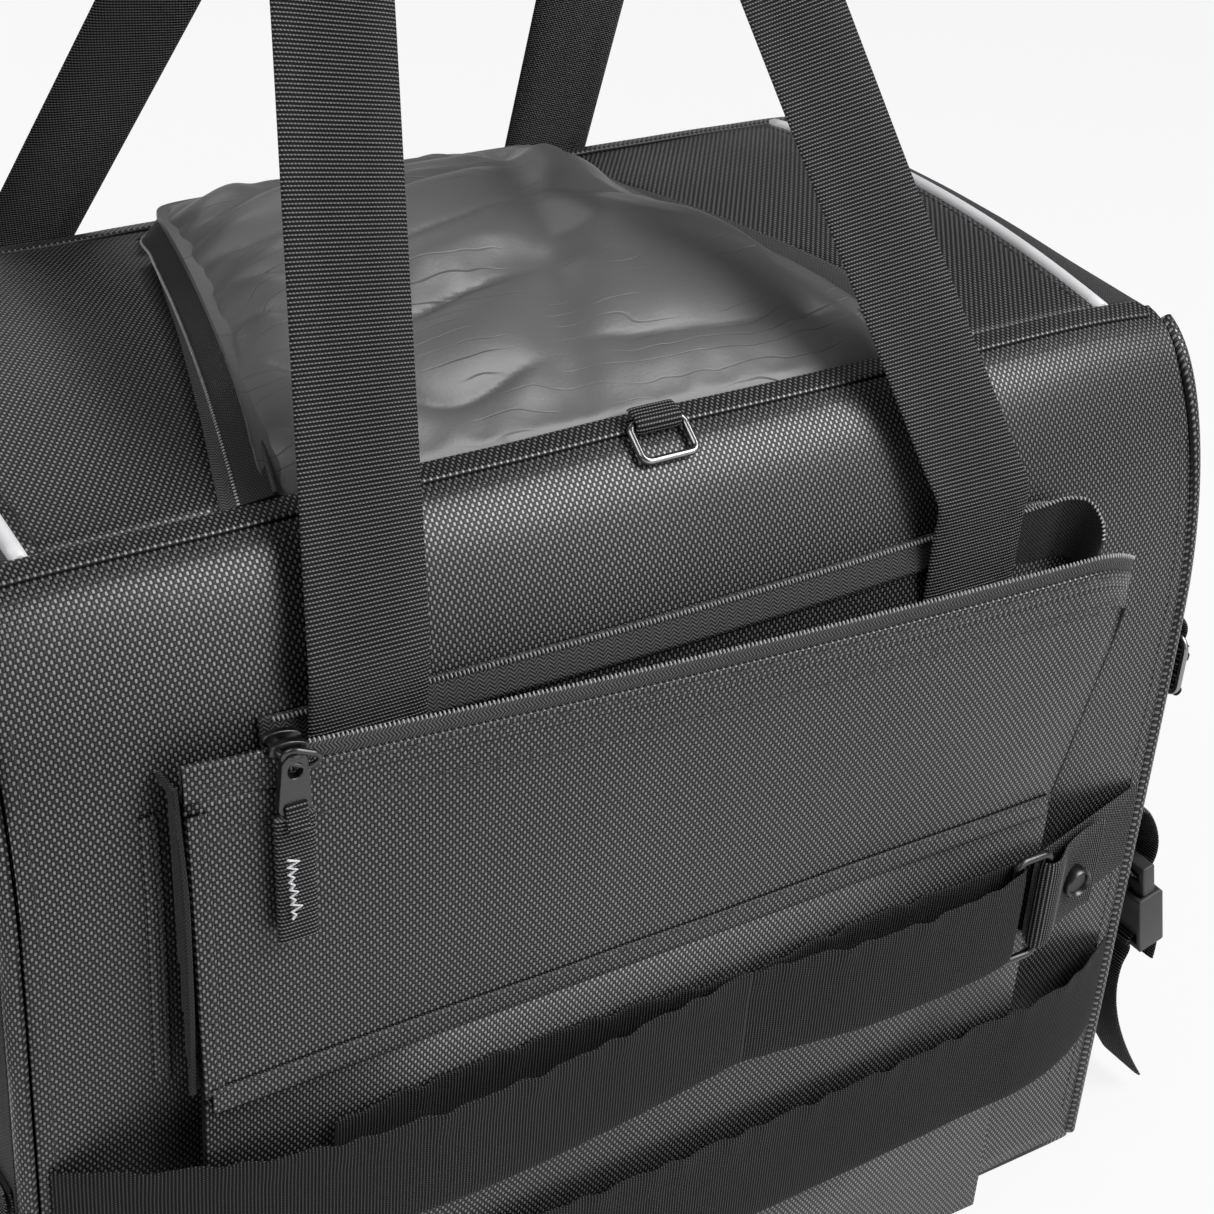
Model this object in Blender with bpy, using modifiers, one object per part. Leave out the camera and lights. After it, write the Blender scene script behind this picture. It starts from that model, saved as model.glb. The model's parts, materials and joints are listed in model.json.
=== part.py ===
"""Motorcycle tail bag: zipped vinyl lid, front zip pocket, mounting straps, handles and side buckles.

Metres, +Z up, +X to the bag's right, the pocket side faces -Y, origin at the middle of the base.
"""
import math

import bmesh
import bpy
from mathutils import Matrix, Vector

# Bag body
BAG_WIDTH = 0.440
BAG_DEPTH = 0.275
SEAM_HEIGHT = 0.356        # base to the top seams
SHOULDER_DEPTH = 0.040     # how far the rounded shoulder runs back to the seam
SHOULDER_HEIGHT = 0.112    # how far below the seam the shoulder starts
FRONT_BULGE = 0.004        # outward bow of the front and rear panels
BULGE_START = 0.050        # height over which the bow grows from the base
TOP_CROWN = 0.010          # rise of the top panel between the seams
CROWN_POWER = 16           # how far the crown keeps its height towards the ends
END_DROP = 0.003           # fall of the top towards each end
PANEL_T = 0.0025           # foam-backed nylon
BOARD_T = 0.0020           # stiffener boards
PIPING_D = 0.0060
PIPING_PROUD = 0.0010      # how far an edge piping stands out of the panels
PIPING_INSET = 0.026       # side face to the reflective piping
SEAM_GAP = 0.0015          # room left along the top seams
GAP = 0.0003               # running gap between neighbours

# Lid and its zipped gusset
LID_FOOT_FRONT = 0.134     # half width of the gusset's foot at the front seam
LID_FOOT_REAR = 0.077
LID_EDGE_FRONT = 0.110     # half width of the vinyl at the front seam
LID_EDGE_REAR = 0.070
LID_DRAW_IN = 0.001        # how far the vinyl's sides pull in between the corners
LID_REAR_SPACE = 0.012     # rear seam to the foot of the rear gusset
LID_REAR_SLANT = 0.006     # lean of the rear gusset
LID_RISE = 0.009           # height of the vinyl's edge over the top panel
LID_RISE_RUN = 0.045       # length over which the lid climbs from the front seam
LID_FRONT_RISE = 0.0015    # height of the lid at the front seam
LID_CROWN = 0.009
LID_CROWN_POWER = 0.35     # below 1 keeps the pad full up to its front and rear edges
LID_PAD_T = 0.0030
TAPE_T = 0.0012            # zip tapes and gusset bands
LID_OPEN_SLIT = 0.16       # share of the gusset's width taken by the zip's coil

# Front pocket
POCKET_DEPTH = 0.0165      # bag front to the pocket's outer face
POCKET_LEFT_SPACE = 0.050  # left side face to the pocket's edge
POCKET_RIGHT_SPACE = 0.069
POCKET_FLARE = 0.007       # how much further right the flap reaches at its top
POCKET_FLOOR = 0.008
FLAP_HINGE_Z = 0.200
FLAP_TOP_DROP = 0.046      # top seam down to the flap's zip edge
FLAP_STAND_LEFT = 0.0055   # bag front to the flap's top edge, at its left end
FLAP_STAND_RIGHT = 0.0335
HINGE_GAP = 0.0010
ZIP_TAPE_W = 0.011
BACK_ZIP_DROP = 0.049      # top seam down to the middle of the bag's zip tape
BACK_ZIP_START = 0.028     # pocket's left edge to the tape's end
BACK_ZIP_OVERRUN = 0.006   # how far the tape passes the pocket's right edge
GUSSET_T = 0.0015
GUSSET_INSET = 0.006       # pocket edge to the gusset wall behind it
FLAP_GUSSET_REACH = 0.012  # width of the gussets beside the flap
FLAP_SIDE_GAP = 0.0025

# Zip sliders and pulls
SLIDER_START = 0.030       # pocket's left edge to the slider
SLIDER_LENGTH = 0.011
SLIDER_HALF = 0.0040
SLIDER_SLOT = 0.0016
SLIDER_TOP = 0.0030
SLIDER_SKIRT = 0.0030
PULL_LENGTH = 0.020
PULL_OVERRUN = 0.0007      # how far the pull tab passes its hinge
PULL_TOP_W = 0.0075
PULL_END_W = 0.0105
PULL_T = 0.0014
PULL_HOLE_D = 0.0040
PULL_WEB_W = 0.0125
PULL_WEB_T = 0.0024
PULL_WEB_LENGTH = 0.040
LID_SLIDER_X = 0.030
LID_SLIDER_SIZE = (0.010, 0.0075, 0.0024)
LID_PULL_LENGTH = 0.016
LID_PULL_W = 0.008

# Mounting straps, ring and snap tab
STRAP_T = 0.0018
UPPER_STRAP_Z = 0.160
UPPER_STRAP_W = 0.040
UPPER_STRAP_END = 0.040    # pocket's left edge to the end of the folded layer
UPPER_STRAP_BOW = 0.006    # how far the folded layer stands off beside the ring
LOWER_STRAP_Z = 0.0845
LOWER_STRAP_W = 0.045
LOWER_STRAP_BOW = 0.004
RING_WIRE_D = 0.0030
RING_BACK = 0.016          # pocket's right edge back to the ring's left bar
RING_SPAN = 0.0155         # between the ring's two upright bars
TAB_T = 0.0016
TAB_W = 0.038
TAB_FLAP_LENGTH = 0.036
SNAP_REACH = 0.0195        # ring bar to the snap
SNAP_LIFT = 0.0040         # between the tab's two layers at the snap
SNAP_CAP_D = 0.0120
SNAP_CAP_T = 0.0022
SNAP_STUD_D = 0.0090

# Handles
HANDLE_W = 0.038
HANDLE_T = 0.0018
HANDLE_GRIP_W = 0.020      # webbing drawn together where it enters the grip
HANDLE_SPREAD = 0.1110     # bag middle to a handle's leg at its pivot
HANDLE_PIVOT_DROP = 0.030  # top seam down to the pivot line
HANDLE_PIVOT_OUT = 0.0014  # bag front out to the pivot line
HANDLE_FOOT_DROP = 0.101   # top seam down to the lower end of the sewn feet
HANDLE_SEWN_DROP = 0.069   # top seam down to the upper end of the sewn part
GRIP_RISE = 0.177          # top seam up to the grips
GRIP_HALF = 0.045
GRIP_DEPTH = 0.024
GRIP_HEIGHT = 0.018
GRIP_SPACE = 0.0020        # between the two grips

# Small wire rings and their loops
WIRE_D = 0.0025
LOOP_T = 0.0014
TOP_RING_X = 0.004
TOP_RING_W = 0.0195
TOP_RING_DROP = 0.0125
TOP_LOOP_W = 0.0165
TOP_LOOP_RUN = 0.0045
SIDE_FIT_INSET = 0.019     # bag front back to the side fittings
SIDE_RING_Z = 0.230
SIDE_RING_W = 0.024
SIDE_RING_DROP = 0.024
SIDE_LOOP_W = 0.018
LOOP_SEWN = 0.010          # length of the sewn end of a side loop
SIDE_LOOP_RISE = 0.016
SIDE_LOOP_OUT = 0.009      # how far the loop stands off the side at its ring

# Side-release buckles and tie-down straps
BUCKLE_OUT = 0.019         # side face to the middle of the buckle's mouth
BUCKLE_TILT = 14.0         # degrees, the buckle's upper end nearer the bag
BUCKLE_W = 0.032
BUCKLE_T = 0.012
BUCKLE_MOUTH_Z = 0.113
BUCKLE_BOX_H = 0.028
BUCKLE_WALL = 0.0024
BUCKLE_SOCKET = 0.018
BUCKLE_BAR_H = 0.0035
BUCKLE_SLOT_H = 0.0045
MALE_T = 0.006
MALE_HEAD_H = 0.015
MALE_BAR_H = 0.0045
MALE_SIDE = 0.003
MALE_PRONG_L = 0.016
MALE_PRONG_W = 0.005
BUCKLE_TRAVEL = 0.017
BUCKLE_WEB_W = 0.023
BUCKLE_WEB_T = 0.0014
BUCKLE_SEWN = 0.012        # length of the sewn end of the buckle's web
BUCKLE_WEB_RISE = 0.006    # from the web's loop up to its sewn end
TIE_T = 0.0016
TIE_END = (0.042, 0.008)   # side face out to the strap's end, and its height
TIE_WAIST = (0.007, 0.060)
TIE_TAIL = (0.6, 0.014)    # free tail below the buckle: share of its half depth out, and length

# Worked out from the sizes above
HALF_W = BAG_WIDTH / 2
HALF_D = BAG_DEPTH / 2
SEAM_Y = HALF_D - SHOULDER_DEPTH
SPRING_Z = SEAM_HEIGHT - SHOULDER_HEIGHT
REFLECT_X = HALF_W - PIPING_INSET
WALL_FOOT = PANEL_T + GAP
CORD_X = HALF_W + PIPING_PROUD - PIPING_D / 2
CORD_Y = HALF_D + PIPING_PROUD - PIPING_D / 2
EDGE_X = CORD_X - PIPING_D / 2 - GAP
CORD_EASE = 1.25           # extra room beside a piping where it bends
SIDE_INSET = HALF_D - CORD_Y + CORD_EASE * PIPING_D / 2 + GAP
LID_REAR_Y = SEAM_Y - LID_REAR_SPACE
POCKET_Y = HALF_D + POCKET_DEPTH
POCKET_LEFT = HALF_W - POCKET_LEFT_SPACE
POCKET_RIGHT = HALF_W - POCKET_RIGHT_SPACE
POCKET_RIGHT_TOP = POCKET_RIGHT + POCKET_FLARE
FLAP_TOP_Z = SEAM_HEIGHT - FLAP_TOP_DROP
BACK_ZIP_Z = SEAM_HEIGHT - BACK_ZIP_DROP
BACK_ZIP_LEFT = POCKET_LEFT - BACK_ZIP_START
BACK_ZIP_RIGHT = POCKET_RIGHT + BACK_ZIP_OVERRUN
SLIDER_X = SLIDER_START - POCKET_LEFT
HINGE_Y = -(POCKET_Y - PANEL_T / 2)
RING_LEFT_X = POCKET_RIGHT - RING_BACK
RING_RIGHT_X = RING_LEFT_X + RING_SPAN
RING_Y = -(POCKET_Y + RING_WIRE_D / 2 + 2 * TAB_T + 4 * GAP)
FOLD_GAP = 1.5 * GAP
HANDLE_PIVOT_Y = HALF_D + HANDLE_PIVOT_OUT
HANDLE_PIVOT_Z = SEAM_HEIGHT - HANDLE_PIVOT_DROP
HANDLE_FOOT_Z = SEAM_HEIGHT - HANDLE_FOOT_DROP
HANDLE_SEWN_Z = SEAM_HEIGHT - HANDLE_SEWN_DROP
GRIP_Z = SEAM_HEIGHT + GRIP_RISE
GRIP_Y = (GRIP_DEPTH + GRIP_SPACE) / 2
SIDE_FIT_Y = -(HALF_D - SIDE_FIT_INSET)

# Finishes: base colour, roughness, metallic
NYLON = ((0.045, 0.045, 0.047), 0.70, 0.0)
SMOOTH_CLOTH = ((0.016, 0.016, 0.017), 0.75, 0.0)
VINYL = ((0.110, 0.110, 0.112), 0.42, 0.0)
WEBBING = ((0.035, 0.035, 0.036), 0.75, 0.0)
LOOP_TAPE = ((0.028, 0.028, 0.029), 0.90, 0.0)
ZIP_TAPE = ((0.022, 0.022, 0.023), 0.80, 0.0)
REFLECTIVE = ((0.780, 0.780, 0.780), 0.45, 0.0)
DARK_METAL = ((0.100, 0.100, 0.105), 0.32, 1.0)
BRIGHT_METAL = ((0.420, 0.420, 0.430), 0.25, 1.0)
PLASTIC = ((0.050, 0.050, 0.052), 0.45, 0.0)
BOARD = ((0.250, 0.240, 0.220), 0.80, 0.0)


def clear_scene():
    """Take away whatever the file opened with."""
    for thing in list(bpy.data.objects):
        bpy.data.objects.remove(thing, do_unlink=True)


def make_collection(name):
    group = bpy.data.collections.new(name)
    bpy.context.scene.collection.children.link(group)
    return group


clear_scene()
BAG = make_collection("tail_bag")
CUTTERS = make_collection("cutters")


def mix(a, b, share):
    return a + (b - a) * share


def spread(first, last, count):
    """Evenly spaced values from first to last."""
    return [mix(first, last, i / (count - 1)) for i in range(count)]


def paint(thing, finish):
    """Give an object its own Principled material."""
    colour, roughness, metallic = finish
    material = bpy.data.materials.new(thing.name + "_finish")
    material.use_nodes = True
    shader = material.node_tree.nodes["Principled BSDF"]
    shader.inputs["Base Color"].default_value = (*colour, 1.0)
    shader.inputs["Roughness"].default_value = roughness
    shader.inputs["Metallic"].default_value = metallic
    material.diffuse_color = (*colour, 1.0)
    thing.data.materials.append(material)


def add_object(name, data, finish, pivot=None, group=None):
    """Link a new object, paint it and hang it on its joint's empty if it moves."""
    thing = bpy.data.objects.new(name, data)
    (group or BAG).objects.link(thing)
    if finish:
        paint(thing, finish)
    if pivot:
        thing.parent = pivot
        thing.matrix_parent_inverse = Matrix.Translation(pivot.location).inverted()
    return thing


def add_pivot(name, position):
    """An empty on a joint's axis."""
    empty = bpy.data.objects.new(name, None)
    empty.empty_display_size = 0.02
    empty.location = position
    BAG.objects.link(empty)
    return empty


def add_sheet(name, rows, thickness, finish, offset=-1.0, pivot=None):
    """Cloth, tape or webbing: a grid of points as an open surface, thickened by Solidify.

    The face looks along (next column) x (next row); offset -1 puts the thickness behind it.
    """
    build = bmesh.new()
    grid = [[build.verts.new(point) for point in row] for row in rows]
    for low, high in zip(grid, grid[1:]):
        for a, b, c, d in zip(low, low[1:], high[1:], high):
            build.faces.new((a, b, c, d))
    mesh = bpy.data.meshes.new(name)
    build.to_mesh(mesh)
    build.free()
    mesh.shade_smooth()
    thing = add_object(name, mesh, finish, pivot)
    solid = thing.modifiers.new("thickness", "SOLIDIFY")
    solid.thickness = thickness
    solid.offset = offset
    solid.use_even_offset = True
    return thing


def add_webbing(name, path, across, width, thickness, finish, pivot=None):
    """A flat strap along a path; across is its width direction, one vector or one for each point."""
    sides = across if isinstance(across, list) else [across] * len(path)
    rows = [(p - s * width / 2, p + s * width / 2) for p, s in zip(path, sides)]
    return add_sheet(name, rows, thickness, finish, 0.0, pivot)


def add_wire(name, points, diameter, finish, closed=False, pivot=None):
    """A round wire, piping or cord along a path."""
    curve = bpy.data.curves.new(name, "CURVE")
    curve.dimensions = "3D"
    curve.bevel_depth = diameter / 2
    curve.bevel_resolution = 2
    curve.use_fill_caps = True
    spline = curve.splines.new("POLY")
    spline.points.add(len(points) - 1)
    for knot, point in zip(spline.points, points):
        knot.co = (*point, 1.0)
    spline.use_cyclic_u = closed
    return add_object(name, curve, finish, pivot)


def add_plate(name, outlines, thickness, frame, finish, pivot=None):
    """A flat outline with holes, extruded evenly about its plane and placed by a matrix."""
    curve = bpy.data.curves.new(name, "CURVE")
    curve.dimensions = "2D"
    curve.fill_mode = "BOTH"
    curve.extrude = thickness / 2
    for outline in outlines:
        spline = curve.splines.new("POLY")
        spline.points.add(len(outline) - 1)
        for knot, (u, v) in zip(spline.points, outline):
            knot.co = (u, v, 0.0, 1.0)
        spline.use_cyclic_u = True
    thing = add_object(name, curve, finish, pivot)
    thing.matrix_basis = frame
    return thing


def add_block(name, size, frame, finish, rounding=0.0, pivot=None, group=None):
    """A box of a given size, centred on a placing matrix, with rounded edges."""
    build = bmesh.new()
    bmesh.ops.create_cube(build, size=1.0)
    bmesh.ops.scale(build, vec=size, verts=build.verts)
    mesh = bpy.data.meshes.new(name)
    build.to_mesh(mesh)
    build.free()
    thing = add_object(name, mesh, finish, pivot, group)
    thing.matrix_basis = frame
    if rounding:
        bevel = thing.modifiers.new("rounding", "BEVEL")
        bevel.width = rounding
        bevel.segments = 2
    return thing


def add_disc(name, diameter, thickness, frame, finish, rounding=0.0, pivot=None):
    """A round disc, centred on a placing matrix, its axis along the matrix's Z."""
    build = bmesh.new()
    radius = diameter / 2
    bmesh.ops.create_cone(build, cap_ends=True, segments=20, radius1=radius, radius2=radius, depth=thickness)
    mesh = bpy.data.meshes.new(name)
    build.to_mesh(mesh)
    build.free()
    thing = add_object(name, mesh, finish, pivot)
    thing.matrix_basis = frame
    if rounding:
        bevel = thing.modifiers.new("rounding", "BEVEL")
        bevel.width = rounding
        bevel.segments = 2
        bevel.limit_method = "ANGLE"
    return thing


def cut_away(thing, name, size, frame):
    """Cut a box-shaped space out of an object."""
    cutter = add_block(name, size, frame, None, group=CUTTERS)
    cutter.hide_render = True
    cutter.display_type = "WIRE"
    cut = thing.modifiers.new(name, "BOOLEAN")
    cut.operation = "DIFFERENCE"
    cut.object = cutter


def rounded_rectangle(width, height, radius, steps=3):
    """Corner points of a rectangle with round corners, anticlockwise."""
    points = []
    for turn, (sx, sy) in enumerate(((1, 1), (-1, 1), (-1, -1), (1, -1))):
        for i in range(steps + 1):
            angle = math.radians(90 * turn + 90 * i / steps)
            u = sx * (width / 2 - radius) + radius * math.cos(angle)
            v = sy * (height / 2 - radius) + radius * math.sin(angle)
            points.append((u, v))
    return points


def axes_matrix(origin, x_axis, y_axis):
    """Matrix whose local X and Y lie along two square directions."""
    x_dir = Vector(x_axis).normalized()
    z_dir = x_dir.cross(Vector(y_axis)).normalized()
    y_dir = z_dir.cross(x_dir)
    frame = Matrix((x_dir, y_dir, z_dir)).transposed().to_4x4()
    frame.translation = origin
    return frame


def fold_arc(centre, radius, first, last, steps=6):
    """Points round a fold, in the plane of a strap's path, angles in degrees."""
    angles = [math.radians(a) for a in spread(first, last, steps + 1)]
    return [(centre[0] + radius * math.cos(a), centre[1] + radius * math.sin(a)) for a in angles]


# Surfaces that the pieces share

def end_height(x):
    """Height of the top seam line, which drops towards each end."""
    past = max(0.0, abs(x) - REFLECT_X) / PIPING_INSET
    return SEAM_HEIGHT - END_DROP * past ** 2


def bow(x, z):
    """Outward bow of the front and rear panels."""
    return FRONT_BULGE * (1 - (x / HALF_W) ** 2) * min(1.0, z / BULGE_START)


def wall_y(x, z):
    """Distance of the front and rear panels' outer faces from the bag's middle plane."""
    climb = max(0.0, z - SPRING_Z) / (end_height(x) - SPRING_Z)
    return SEAM_Y + (SHOULDER_DEPTH + bow(x, z)) * math.sqrt(max(0.0, 1 - climb ** 2))


def shoulder_point(x, angle):
    """Point on the front shoulder, 0 at its foot and 90 degrees at the seam, as (y, z)."""
    turn = math.radians(angle)
    z = SPRING_Z + (end_height(x) - SPRING_Z) * math.sin(turn)
    return -(SEAM_Y + (SHOULDER_DEPTH + bow(x, z)) * math.cos(turn)), z


def top_crown(x, y):
    """Rise of the top above its seams, full over most of the width."""
    return TOP_CROWN * (1 - (y / SEAM_Y) ** 2) * (1 - abs(x / HALF_W) ** CROWN_POWER)


def top_z(x, y):
    """Height of the top panel."""
    return end_height(x) + top_crown(x, y)


# Bag body

COLUMNS = (-1.0, -0.905, -0.70, -0.35, 0.0, 0.35, 0.70, 0.905, 1.0)
SHOULDER_ANGLES = (15, 30, 45, 60, 72, 81, 90)


def make_base():
    flat = Matrix.Translation((0, 0, PANEL_T / 2))
    outline = rounded_rectangle(BAG_WIDTH, BAG_DEPTH, PIPING_D)
    add_plate("base_panel", [outline], PANEL_T, flat, NYLON)
    clear = PANEL_T + BOARD_T + 3 * GAP + PIPING_D
    size = (BAG_WIDTH - 2 * clear, BAG_DEPTH - 2 * clear, BOARD_T)
    place = Matrix.Translation((0, 0, WALL_FOOT + BOARD_T / 2))
    add_block("base_board", size, place, BOARD)


def make_wall_board():
    """One board wrapped round the four walls, its ends meeting at the middle of the back."""
    width = BAG_WIDTH - 2 * (PANEL_T + GAP) - BOARD_T
    depth = BAG_DEPTH - 2 * (PANEL_T + GAP) - BOARD_T
    corner = 3.5 * (PIPING_D / 2 + GAP)
    loop = rounded_rectangle(width, depth, corner, 4)
    slit = 2 * BOARD_T
    path = [(-slit, depth / 2)] + loop[5:] + loop[:5] + [(slit, depth / 2)]
    low = WALL_FOOT + BOARD_T + 2 * GAP
    high = SPRING_Z - BOARD_T
    rows = [((x, y, low), (x, y, high)) for x, y in path]
    add_sheet("wall_board", rows, BOARD_T, BOARD, 0.0)


def make_end_walls():
    """Front and rear panels, from the base up over the shoulder to the seam."""
    straight = (WALL_FOOT, BULGE_START, mix(BULGE_START, SPRING_Z, 0.5), SPRING_Z)
    for name, side in (("front_panel", -1), ("rear_panel", 1)):
        rows = []
        for z in straight:
            rows.append([(-side * c * EDGE_X, side * wall_y(c * EDGE_X, z), z) for c in COLUMNS])
        for angle in SHOULDER_ANGLES:
            row = []
            for c in COLUMNS:
                y, z = shoulder_point(c * EDGE_X, angle)
                row.append((-side * c * EDGE_X, -side * y, z))
            rows.append(row)
        add_sheet(name, rows, PANEL_T, NYLON)


def make_side_walls():
    """Side panels, which turn over the top as far as the reflective pipings."""
    rim_z = end_height(HALF_W) - SIDE_INSET
    flat_z = (WALL_FOOT, BULGE_START, mix(BULGE_START, SPRING_Z, 0.5), SPRING_Z)
    levels = [(HALF_W, z, HALF_D - SIDE_INSET) for z in flat_z]
    for angle in SHOULDER_ANGLES:
        turn = math.radians(angle)
        z = SPRING_Z + (rim_z - SPRING_Z) * math.sin(turn)
        levels.append((HALF_W, z, SEAM_Y + (SHOULDER_DEPTH - SIDE_INSET) * math.cos(turn)))
    top_half = SEAM_Y - SEAM_GAP
    rim = []
    for angle in (30, 60, 90):
        turn = math.radians(angle)
        rim.append((HALF_W - SIDE_INSET * (1 - math.cos(turn)), math.sin(turn)))
    inner = REFLECT_X + PIPING_D / 2 + GAP
    crest = [mix(HALF_W - SIDE_INSET, inner, share) for share in (0.5, 1.0)]
    for name, side in (("left_side_panel", -1), ("right_side_panel", 1)):
        rows = []
        for x, z, half in levels:
            rows.append([(side * x, side * c * half, z) for c in COLUMNS])
        for x, climb in rim:
            row = []
            for c in COLUMNS:
                z = rim_z + climb * (SIDE_INSET + top_crown(x, c * top_half))
                row.append((side * x, side * c * top_half, z))
            rows.append(row)
        for x in crest:
            rows.append([(side * x, side * c * top_half, top_z(x, c * top_half)) for c in COLUMNS])
        add_sheet(name, rows, PANEL_T, SMOOTH_CLOTH)


def make_pipings():
    rim = end_height(HALF_W) - (HALF_D - CORD_Y) - SPRING_Z
    for end, y_side in (("front", -1), ("rear", 1)):
        for hand, x_side in (("left", -1), ("right", 1)):
            path = [(x_side * CORD_X, y_side * CORD_Y, z) for z in (WALL_FOOT, SPRING_Z / 2, SPRING_Z)]
            for angle in (12, 24, 36, 48, 58, 67, 75, 82):
                turn = math.radians(angle)
                y = SEAM_Y + (CORD_Y - SEAM_Y) * math.cos(turn)
                path.append((x_side * CORD_X, y_side * y, SPRING_Z + rim * math.sin(turn)))
            add_wire(f"{end}_{hand}_piping", path, PIPING_D, SMOOTH_CLOTH)
    half = SEAM_Y - SEAM_GAP
    for hand, x_side in (("left", -1), ("right", 1)):
        path = [(x_side * REFLECT_X, y, top_z(REFLECT_X, y) - PIPING_PROUD) for y in spread(-half, half, 9)]
        add_wire(f"{hand}_reflective_piping", path, PIPING_D, REFLECTIVE)


# Lid

def foot_half(v):
    """Half width of the gusset's foot, from the front seam (0) to the rear (1)."""
    return mix(LID_FOOT_FRONT, LID_FOOT_REAR, v)


def edge_half(v):
    """Half width of the vinyl, drawn in between its corners."""
    return mix(LID_EDGE_FRONT, LID_EDGE_REAR, v) - LID_DRAW_IN * math.sin(math.pi * v)


LID_FRONT_Y = -SEAM_Y + SEAM_GAP
LID_EDGE_REAR_Y = LID_REAR_Y - LID_REAR_SLANT


def edge_z(v):
    """Height of the vinyl's edge: low at the front seam, then level above the top panel."""
    y = mix(LID_FRONT_Y, LID_EDGE_REAR_Y, v)
    run = min(1.0, (y - LID_FRONT_Y) / LID_RISE_RUN)
    ease = run * run * (3 - 2 * run)
    return top_z(edge_half(v), y) + mix(LID_FRONT_RISE, LID_RISE, ease)


def gusset_lines():
    """Matching points along the gusset's foot and its upper edge: left side, rear, right side."""
    foot = []
    edge = []
    for v in spread(0.0, 1.0, 9):
        y = mix(LID_FRONT_Y, LID_REAR_Y, v)
        x = foot_half(v)
        foot.append(Vector((-x, y, top_z(x, y))))
        edge.append(Vector((-edge_half(v), mix(LID_FRONT_Y, LID_EDGE_REAR_Y, v), edge_z(v))))
    for u in (-0.5, 0.0, 0.5):
        x = u * foot_half(1.0)
        foot.append(Vector((x, LID_REAR_Y, top_z(x, LID_REAR_Y))))
        edge.append(Vector((u * edge_half(1.0), LID_EDGE_REAR_Y, edge_z(1.0))))
    for line in (foot, edge):
        line.extend([Vector((-p.x, p.y, p.z)) for p in reversed(line[:9])])
    return foot, edge


def gusset_band(name, low, high, finish, pivot=None):
    """A band of the lid's gusset between two shares of its width."""
    foot, edge = gusset_lines()
    rows = [(f.lerp(e, low), f.lerp(e, high)) for f, e in zip(foot, edge)]
    return add_sheet(name, rows, TAPE_T, finish, 0.0, pivot)


def make_top_panel():
    """Nylon top in one piece round the lid's mouth."""
    outer_x = REFLECT_X - PIPING_D / 2 - GAP
    outer_y = SEAM_Y - SEAM_GAP
    inner_rear = LID_REAR_Y + TAPE_T
    rows = []
    left = []
    for v in spread(0.0, 1.0, 9):
        inner_x = foot_half(v) + TAPE_T
        left.append(((outer_x, mix(-outer_y, outer_y, v)), (inner_x, mix(-outer_y, inner_rear, v))))
    rear = [((u * outer_x, outer_y), (u * (foot_half(1.0) + TAPE_T), inner_rear)) for u in (-0.5, 0.0, 0.5)]
    path = [((-o[0], o[1]), (-i[0], i[1])) for o, i in left] + rear + list(reversed(left))
    for outer, inner in path:
        row = []
        for share in spread(0.0, 1.0, 4):
            x = mix(outer[0], inner[0], share)
            y = mix(outer[1], inner[1], share)
            row.append((x, y, top_z(x, y)))
        rows.append(row)
    add_sheet("top_panel", rows, PANEL_T, NYLON)


def make_lid():
    """Vinyl lid, its two gusset bands with the zip between them, slider and pull.

    The lid turns about its upper front edge, so that it opens clear of the ring in the seam.
    """
    half_slit = LID_OPEN_SLIT / 2
    rim = 0.03
    gusset_band("lid_gusset_lower", rim, 0.5 - half_slit, ZIP_TAPE)
    hinge_z = edge_z(0.0) + TAPE_T + GAP + LID_PAD_T
    pivot = add_pivot("lid_hinge", (0, LID_FRONT_Y, hinge_z))
    gusset_band("lid_gusset_upper", 0.5 + half_slit, 1 - rim, ZIP_TAPE, pivot)
    rows = []
    for v in spread(0.0, 1.0, 11):
        swell = LID_CROWN * abs(math.sin(math.pi * v)) ** LID_CROWN_POWER
        y = mix(LID_FRONT_Y, LID_EDGE_REAR_Y, v)
        base = edge_z(v) + TAPE_T + GAP
        rows.append([(u * edge_half(v), y, base + swell * (1 - u * u)) for u in spread(-1.0, 1.0, 9)])
    add_sheet("lid_vinyl", rows, LID_PAD_T, VINYL, 1.0, pivot)
    make_lid_slider()


def make_lid_slider():
    """Slider on the rear run of the lid's zip, its pull lying flat along the zip."""
    foot, edge = gusset_lines()
    middle = len(foot) // 2
    low = foot[middle]
    high = edge[middle]
    slope = (high - low).normalized()
    outward = Vector((1, 0, 0)).cross(slope) * -1
    length, height, depth = LID_SLIDER_SIZE
    lift = TAPE_T / 2 + GAP + depth / 2
    seat = low.lerp(high, 0.5) + outward * lift
    seat.x = LID_SLIDER_X
    slide = add_pivot("lid_slider_track", seat)
    add_block("lid_slider", (length, height, depth), axes_matrix(seat, (1, 0, 0), slope), DARK_METAL, 0.0008, slide)
    hinge = seat + outward * (depth / 2 + GAP + PULL_T / 2)
    swing = add_pivot("lid_pull_hinge", hinge)
    centre = hinge - Vector((LID_PULL_LENGTH / 2, 0, 0))
    outline = rounded_rectangle(LID_PULL_LENGTH, LID_PULL_W, LID_PULL_W / 4)
    add_plate("lid_pull", [outline], PULL_T, axes_matrix(centre, (1, 0, 0), slope), DARK_METAL, swing)


# Front pocket

def flap_point(x_share, height_share):
    """Point on the open flap's outer face; shares run left to right and fold line to zip."""
    right = mix(POCKET_RIGHT, POCKET_RIGHT_TOP, height_share)
    x = mix(-POCKET_LEFT, right, x_share)
    stand = HALF_D + mix(FLAP_STAND_LEFT, FLAP_STAND_RIGHT, x_share)
    y = -mix(POCKET_Y, stand, height_share)
    return Vector((x, y, mix(FLAP_HINGE_Z, FLAP_TOP_Z, height_share)))


FLAP_HEIGHT = FLAP_TOP_Z - FLAP_HINGE_Z
FLAP_COLUMNS = spread(0.0, 1.0, 9)


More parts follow.
